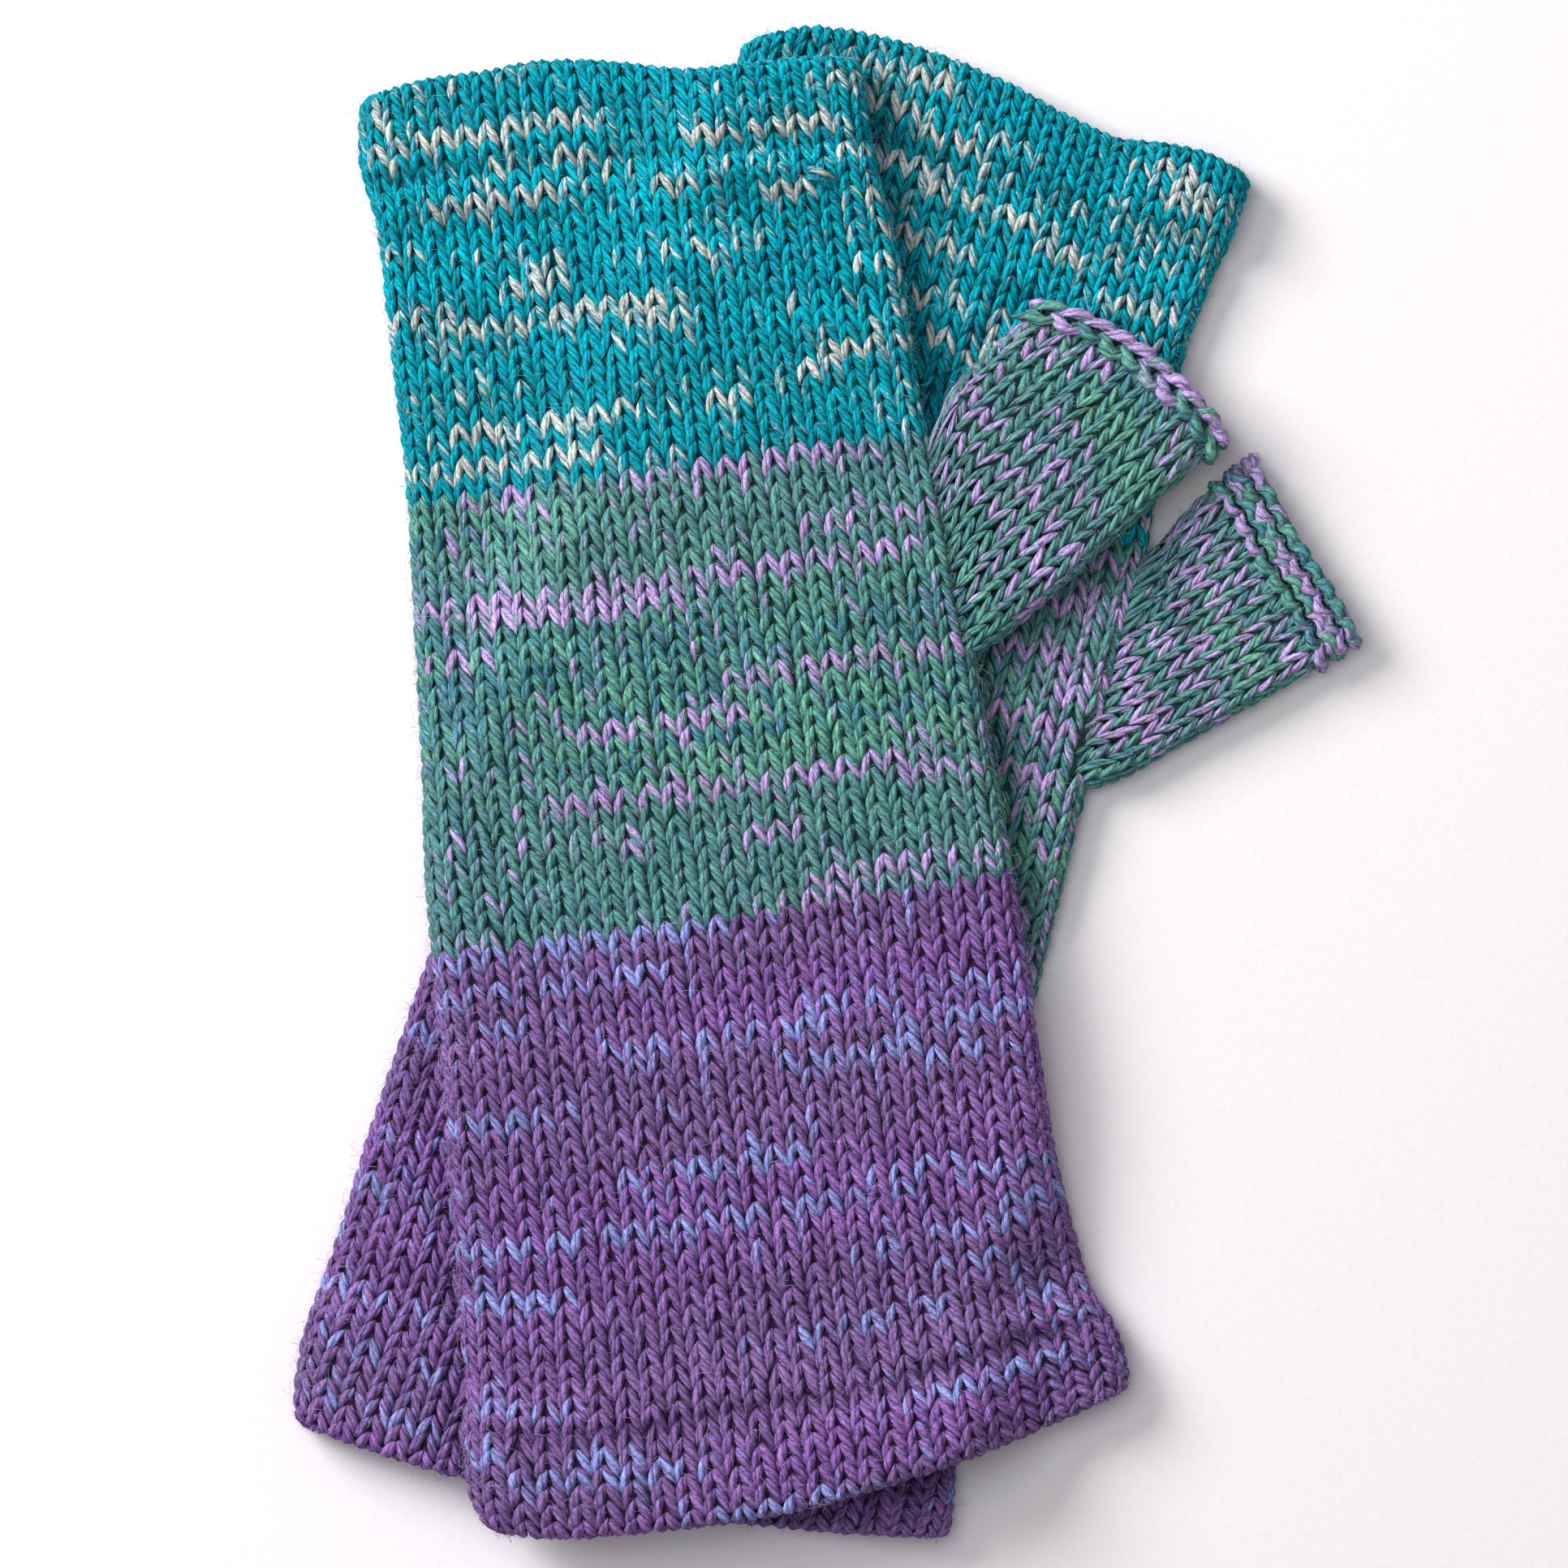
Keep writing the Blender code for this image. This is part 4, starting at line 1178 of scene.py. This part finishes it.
def edge_yarn(mitten, wale, ahead, flip, shape, rng, inner=1.0):
    """Lengths of yarn that lie along the thumb's edge, at given wales and distances past it.

    inner says how much further those on the hand's side bow, and they lie higher for it.
    """
    count = len(wale)
    chance = rng.normal(0, 1, (count, 3))[..., None]
    x = shape["along"] * WALE_WIDTH * (1 + 0.05 * chance[:, 0])
    spread = np.where(flip < 0, inner, 1.0)[:, None]
    y = flip[:, None] * spread * shape["aside"] * (1 + 0.1 * chance[:, 1])
    width = shape["width"] * (1 + 0.08 * chance[:, 2])
    out = shape["out"] + INNER_RISE * (spread - 1)
    surface = partial(thumb_point, mitten)
    return tubes(surface, wale, ahead, x, y, out, width, EDGE_THICKNESS, FINE_SIDES)


def edge_piece(mitten, group, fleck, rng):
    """The edge's lengths of yarn as one piece, with shades and tones by chance."""
    count = len(fleck)
    group.update(shade=rng.random(count), tone=rng.uniform(0.9, 1.1, count), fleck=fleck,
                 seed=rng.random(count), mellow=np.full(count, 0.3))
    return yarn_piece(f"{mitten.name}_thumb_edge", [group], YARNS["green"])


def chain_edge(mitten, rng):
    """A cast-off chain: each link is two lengths that part from a point and close on the next."""
    link = np.tile(np.arange(THUMB_WALES) - THUMB_WALES / 2.0, 2)
    flip = np.repeat([-1.0, 1.0], THUMB_WALES)
    group = edge_yarn(mitten, link, np.full(len(link), CHAIN_AHEAD), flip, LINK, rng, INNER_SPREAD)
    share = np.where(flip > 0, LILAC_OUTER, LILAC_INNER)
    lilac = np.where(rng.random(len(link)) < share, 1.0, 0.1)
    return edge_piece(mitten, group, lilac, rng)


def ridge_edge(mitten, rng):
    """Two purl ridges: four rows of arcs, bowed to and fro, each row half a stitch along.

    A few more arcs make the small knot at the far corner, where the yarn was fastened off.
    """
    ahead = np.concatenate([np.repeat(RIDGE_AHEAD, THUMB_WALES), KNOT["ahead"]])
    flip = np.concatenate([np.repeat(RIDGE_FLIP, THUMB_WALES), KNOT["flip"]])
    row = np.arange(THUMB_WALES) - THUMB_WALES / 2.0
    wale = np.concatenate([row, row + 0.5, row, row + 0.5, KNOT["wale"]])
    group = edge_yarn(mitten, wale, ahead, flip, BUMP, rng)
    fleck = np.clip(along_yarn(rng, wale, ahead, 2.0) * 1.7 - 0.25, 0, 1)
    return edge_piece(mitten, group, fleck, rng)


chain_edge(UPPER, np.random.default_rng(31))
ridge_edge(LOWER, np.random.default_rng(32))

# %% A loose end in the upper mitten
END = table("across along out width", """
    -2.9 1.3 -0.6 0.35, -1.6 1.1 0.35 0.62, 0 0.4 0.75 0.74, 1.5 -0.6 0.45 0.66,
    2.8 -1.6 -0.5 0.35
""")
END_WALE = np.array([8.15, 8.1])
END_COURSE = np.array([229.9, 228.2])
END_THICKNESS = 0.9
END_NUMBERS = table("shade tone fleck seed mellow", """
    0.3 0.95 0.9 0.2 0.2, 0.4 0.85 0.1 0.7 0.2
""")


def loose_end(mitten, wale, course):
    """Two short lengths of yarn side by side on the surface, where a new ball was joined in."""
    shape = [np.tile(numbers, (2, 1)) for numbers in END.values()]
    surface = partial(hand_point, mitten)
    group = tubes(surface, wale, course, *shape, END_THICKNESS, FINE_SIDES) | END_NUMBERS
    return yarn_piece(f"{mitten.name}_loose_end", [group], YARNS["teal"])


loose_end(UPPER, END_WALE, END_COURSE)

# %% [markdown]
# ## The cloth itself
#
# Behind the stitches lies the knitting's own thickness: the back halves of the loops, which
# show between the arrowheads and as plain cloth deep inside the mouths. They are painted much
# darker than the wool, as painted shade for the shade deep between the stitches. Each stripe is
# one thin closed shell between two depths below the surface.

# %% Shells
CLOTH_FRONT = -1.00
CLOTH_BACK = -1.95
CLOTH_STEP = 3.0
THUMB_CLOTH = 30.0
THUMB_CLOTH_SHORT = 1.2
THUMB_CLOTH_PLACES = 16
THUMB_CLOTH_RISE = 0.1
EDGE_OF_MAP = 0.01


def shell_piece(name, surface, places, wales, columns, shift, material):
    """A closed shell between two depths of a surface: out along its front and back inside.

    Its grid closes on itself both ways, round the wales and round the two depths.
    """
    count = len(places)
    wale = (np.arange(columns) / columns - 0.5) * wales
    place, at = np.meshgrid(places, wale, indexing="ij")
    front, back = (surface(at, place, np.full(at.shape, depth + shift))
                   for depth in (CLOTH_FRONT, CLOTH_BACK))
    points = np.concatenate([front, back[::-1]]).reshape(-1, 3)
    i, j = np.meshgrid(np.arange(2 * count), np.arange(columns), indexing="ij")
    line = np.stack([i, i, i + 1, i + 1], -1)
    column = np.stack([j, j + 1, j + 1, j], -1)
    quads = (line % (2 * count)) * columns + column % columns
    rows = np.concatenate([places, places[::-1], places[:1]]) / ROW_HEIGHT
    rows_map = np.stack([wale[0] + column * (wale[1] - wale[0]), rows[line]], -1)
    bake = np.stack([column / columns, line / (2 * count)], -1)
    bake = bake * (1 - 2 * EDGE_OF_MAP) + EDGE_OF_MAP
    maps = {"OFBake": [bake.reshape(-1, 4, 2)], "rows": [rows_map.reshape(-1, 4, 2)]}
    return piece_from(name, points, [quads.reshape(-1, 4)], maps, {}, material)


def hand_cloth(mitten, colour, stripe):
    """One stripe's shell, which turns in with its hem."""
    start, end = stripe_span(mitten.ends, stripe, HEM_DEPTH - 2)
    places = np.linspace(start, end, int((end - start) / CLOTH_STEP))
    return shell_piece(f"{mitten.name}_{colour}_cloth", partial(hand_point, mitten), places,
                       HAND_WALES, 2 * HAND_WALES, 0.0, SHADED_CLOTHS[colour])


def thumb_cloth(mitten):
    """The thumb's shell, from its root to the end of its cast-off edge."""
    places = np.linspace(-THUMB_CLOTH, mitten.roll - THUMB_CLOTH_SHORT, THUMB_CLOTH_PLACES)
    return shell_piece(f"{mitten.name}_thumb_cloth", partial(thumb_point, mitten), places,
                       THUMB_WALES, HAND_WALES, THUMB_CLOTH_RISE, SHADED_CLOTHS["green"])


for mitten in (LOWER, UPPER):
    for stripe, colour in enumerate(STRIPES):
        hand_cloth(mitten, colour, stripe)
    thumb_cloth(mitten)

# %% [markdown]
# ## Stray hairs
#
# Wool is never smooth: fine hairs stand out of the yarn, lie across the stitches and make a pale
# halo along every edge. Each is a spindle of six triangles, or of twelve if it is long. It is bent
# on a short arc and passed through the same surface as the stitches.

# %% Hairs
HAIR_WIDTH = 0.030
HAIR_SIDES = 3
LONG_SHARE = 0.25
FOLD_SHARE = 0.33
LONG_HAIR = np.array([0.0, 0.35, 0.7, 1.0])
SHORT_HAIR = np.array([0.0, 0.5, 1.0])
LONG_REACH = 3.4
SHORT_REACH = 1.5
HAIR_CELL = np.array([(0.1, 0.1), (0.9, 0.1), (0.5, 0.9)])


def hair_points(surface, wale, place, stations, reach, rng):
    """Spindles: a point, rings of three, and a point, along a short arc in the surface."""
    count = len(wale)
    angle = rng.uniform(0, 2 * pi, count)[:, None]
    curl = rng.normal(0, 0.9, count)[:, None]
    t = stations[None]
    heading = angle + curl * t
    x = reach[:, None] * t * np.cos(heading)
    y = reach[:, None] * t * np.sin(heading)
    rise = rng.gamma(1.6, 0.45, count)[:, None]
    arc = np.sin(pi * np.clip(t * rng.uniform(0.45, 1.0, count)[:, None], 0, 1))
    out = -0.4 + (rise + 0.4) * arc
    turn = 2 * pi * np.arange(HAIR_SIDES) / HAIR_SIDES
    swell = (np.abs(t - 0.5) < 0.49)[..., None] * HAIR_WIDTH
    ring_x = x[..., None] - swell * np.cos(turn) * np.sin(heading)[..., None]
    ring_y = y[..., None] + swell * np.cos(turn) * np.cos(heading)[..., None]
    ring_out = out[..., None] + swell * np.sin(turn)
    wale, place = wale[:, None, None], place[:, None, None]
    points = surface(wale + ring_x / WALE_WIDTH, place + ring_y, ring_out)
    rings = points[:, 1:-1].reshape(count, -1, 3)
    return np.concatenate([points[:, :1, 0], rings, points[:, -1:, 0]], axis=1)


def hair_faces(rings):
    """Triangles of one spindle: a fan at each tip and two triangles on each side between."""
    here = np.arange(HAIR_SIDES)
    following = (here + 1) % HAIR_SIDES
    faces = [np.stack([here * 0, following + 1, here + 1], -1)]
    for ring in range(rings - 1):
        low, high = 1 + ring * HAIR_SIDES, 1 + (ring + 1) * HAIR_SIDES
        faces.append(np.stack([low + here, low + following, high + following], -1))
        faces.append(np.stack([low + here, high + following, high + here], -1))
    last = 1 + (rings - 1) * HAIR_SIDES
    faces.append(np.stack([last + here, last + following, here * 0 + last + HAIR_SIDES], -1))
    return np.concatenate(faces)


def hair_material(name, colour):
    """Pale wool hairs whose tone changes along each."""
    paint = Paint(name, roughness=0.8, sheen=0.3)
    tone = paint.attribute("tone")
    paint.feed(paint.shader.inputs["Base Color"], paint.scaled(colour[:3], tone))
    return paint.material


HAIRS = {
    "teal": hair_material("teal hairs", seen(120, 200, 208)),
    "green": hair_material("green hairs", seen(155, 186, 186)),
    "purple": hair_material("purple hairs", seen(180, 160, 208)),
}


def hair_piece(name, surface, wale, place, rng, material):
    """One piece of many hairs: a quarter of them long and bent, and the rest short."""
    long = rng.random(len(wale)) < LONG_SHARE
    points, faces, bake = [], [], []
    cells = int(np.ceil(np.sqrt(len(wale))))
    first_point = first_cell = 0
    kinds = (long, LONG_HAIR, LONG_REACH), (~long, SHORT_HAIR, SHORT_REACH)
    for chosen, stations, mean in kinds:
        count = int(chosen.sum())
        reach = rng.gamma(5.0, mean / 5.0, count)
        made_points = hair_points(surface, wale[chosen], place[chosen], stations, reach, rng)
        each = made_points.shape[1]
        one = hair_faces(len(stations) - 2)
        faces.append((np.arange(count)[:, None, None] * each + one).reshape(-1, 3) + first_point)
        cell = np.repeat(np.arange(count) + first_cell, len(one))
        bake.append((np.stack([cell % cells, cell // cells], -1)[:, None] + HAIR_CELL) / cells)
        points.append(made_points.reshape(-1, 3))
        first_point += count * each
        first_cell += count
    points = np.concatenate(points)
    tone = rng.uniform(0.55, 1.3, len(points))
    return piece_from(name, points, faces, {"OFBake": bake}, {"tone": tone}, material)


def hair_wales(rng, count):
    """Where hairs start: a third of them near the two side folds, where they make the halo."""
    anywhere = rng.uniform(-FINE_WALES - 0.8, FINE_WALES + 0.8, count)
    by_fold = rng.choice([-FOLD_WALE, FOLD_WALE], count) + rng.normal(0, 0.8, count)
    return np.where(rng.random(count) < FOLD_SHARE, by_fold, anywhere)


FOLD_WALE = 12.6
THUMB_HAIRS = 34
HAIRS_PAST_END = 4
HAIR_COUNTS = {"purple": 5000, "green": 3600, "teal": 3800, "thumb": 1000}
for mitten, seed in ((LOWER, 41), (UPPER, 42)):
    rng = np.random.default_rng(seed)
    for stripe, colour in enumerate(STRIPES):
        wale = hair_wales(rng, HAIR_COUNTS[colour])
        span = stripe_span(mitten.ends, stripe, HAIRS_PAST_END)
        place = rng.uniform(*span, HAIR_COUNTS[colour])
        keep = ~covered(mitten, wale, place)
        name = f"{mitten.name}_{colour}_hairs"
        hair_piece(
            name, partial(hand_point, mitten), wale[keep], place[keep], rng, HAIRS[colour])
    wale = rng.uniform(-THUMB_WALES / 3, THUMB_WALES / 3, HAIR_COUNTS["thumb"])
    place = rng.uniform(-THUMB_HAIRS, mitten.roll, HAIR_COUNTS["thumb"])
    name = f"{mitten.name}_thumb_hairs"
    surface = partial(thumb_point, mitten)
    hair_piece(name, surface, wale, place, rng, HAIRS["green"])

# %% [markdown]
# ## The paper
#
# The mittens lie on smooth white paper with a very faint tooth.

# %% Paper
PAPER_REACH = 3.0
PAPER_LEVEL = -1e-4
PAPER_RELIEF = 0.00004
paper_mesh = bpy.data.meshes.new("paper")
paper_corners = [(x * PAPER_REACH, y * PAPER_REACH, PAPER_LEVEL)
                 for x, y in ((-1, -1), (1, -1), (1, 1), (-1, 1))]
paper_mesh.from_pydata(paper_corners, [], [(0, 1, 2, 3)])
paper = bpy.data.objects.new("paper", paper_mesh)
scene.collection.objects.link(paper)
paper_paint = Paint("white paper", roughness=0.9, sheen=0.0)
grain = {"Vector": paper_paint.node("ShaderNodeTexCoord", {}, {}, "Object"), "Scale": 900.0,
         "Detail": 3.0}
tooth = paper_paint.node("ShaderNodeTexNoise", {}, grain, "Fac")
paper_colour = paper_paint.mix(tooth, seen(229, 226, 229), seen(237, 234, 237))
paper_mesh.materials.append(paper_paint.finish(paper_colour, tooth, PAPER_RELIEF))
paper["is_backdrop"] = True

# %% [markdown]
# ## What stands for what
#
# Each cloth shell takes the place of one solid of the model, with its stitches and hairs on it.
# The sizes are what shows of each piece, unrolled: once round the tube, by the stripe's length.
# The hems that are turned in come on top of that.

# %% Sizes of the pieces, and the solids hidden
NODES = {"purple": "purple_cuff", "green": "green_palm", "teal": "teal_top", "thumb": "thumb"}
ROUND = {"purple": 0.222, "green": 0.204, "teal": 0.188}
THUMB_SHEET = (0.086, 0.036)
for mitten in (LOWER, UPPER):
    lengths = [round(float(length) * MM, 4) for length in np.diff(mitten.ends)]
    sizes = {colour: (ROUND[colour], length) for colour, length in zip(STRIPES, lengths)}
    sizes["thumb"] = THUMB_SHEET
    for colour, node in NODES.items():
        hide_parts(f"{mitten.name}_{node}")
    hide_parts(f"{mitten.name}_thumb_roll")

print("triangles in all:", sum(count for _, count in made))
print("most in one piece:", max(made, key=lambda entry: entry[1]))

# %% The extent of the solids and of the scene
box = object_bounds()
for label, corners in (("solids", cad_box), ("scene", box)):
    print(label, "mm:", [[round(x * 1000, 1) for x in corner] for corner in corners])
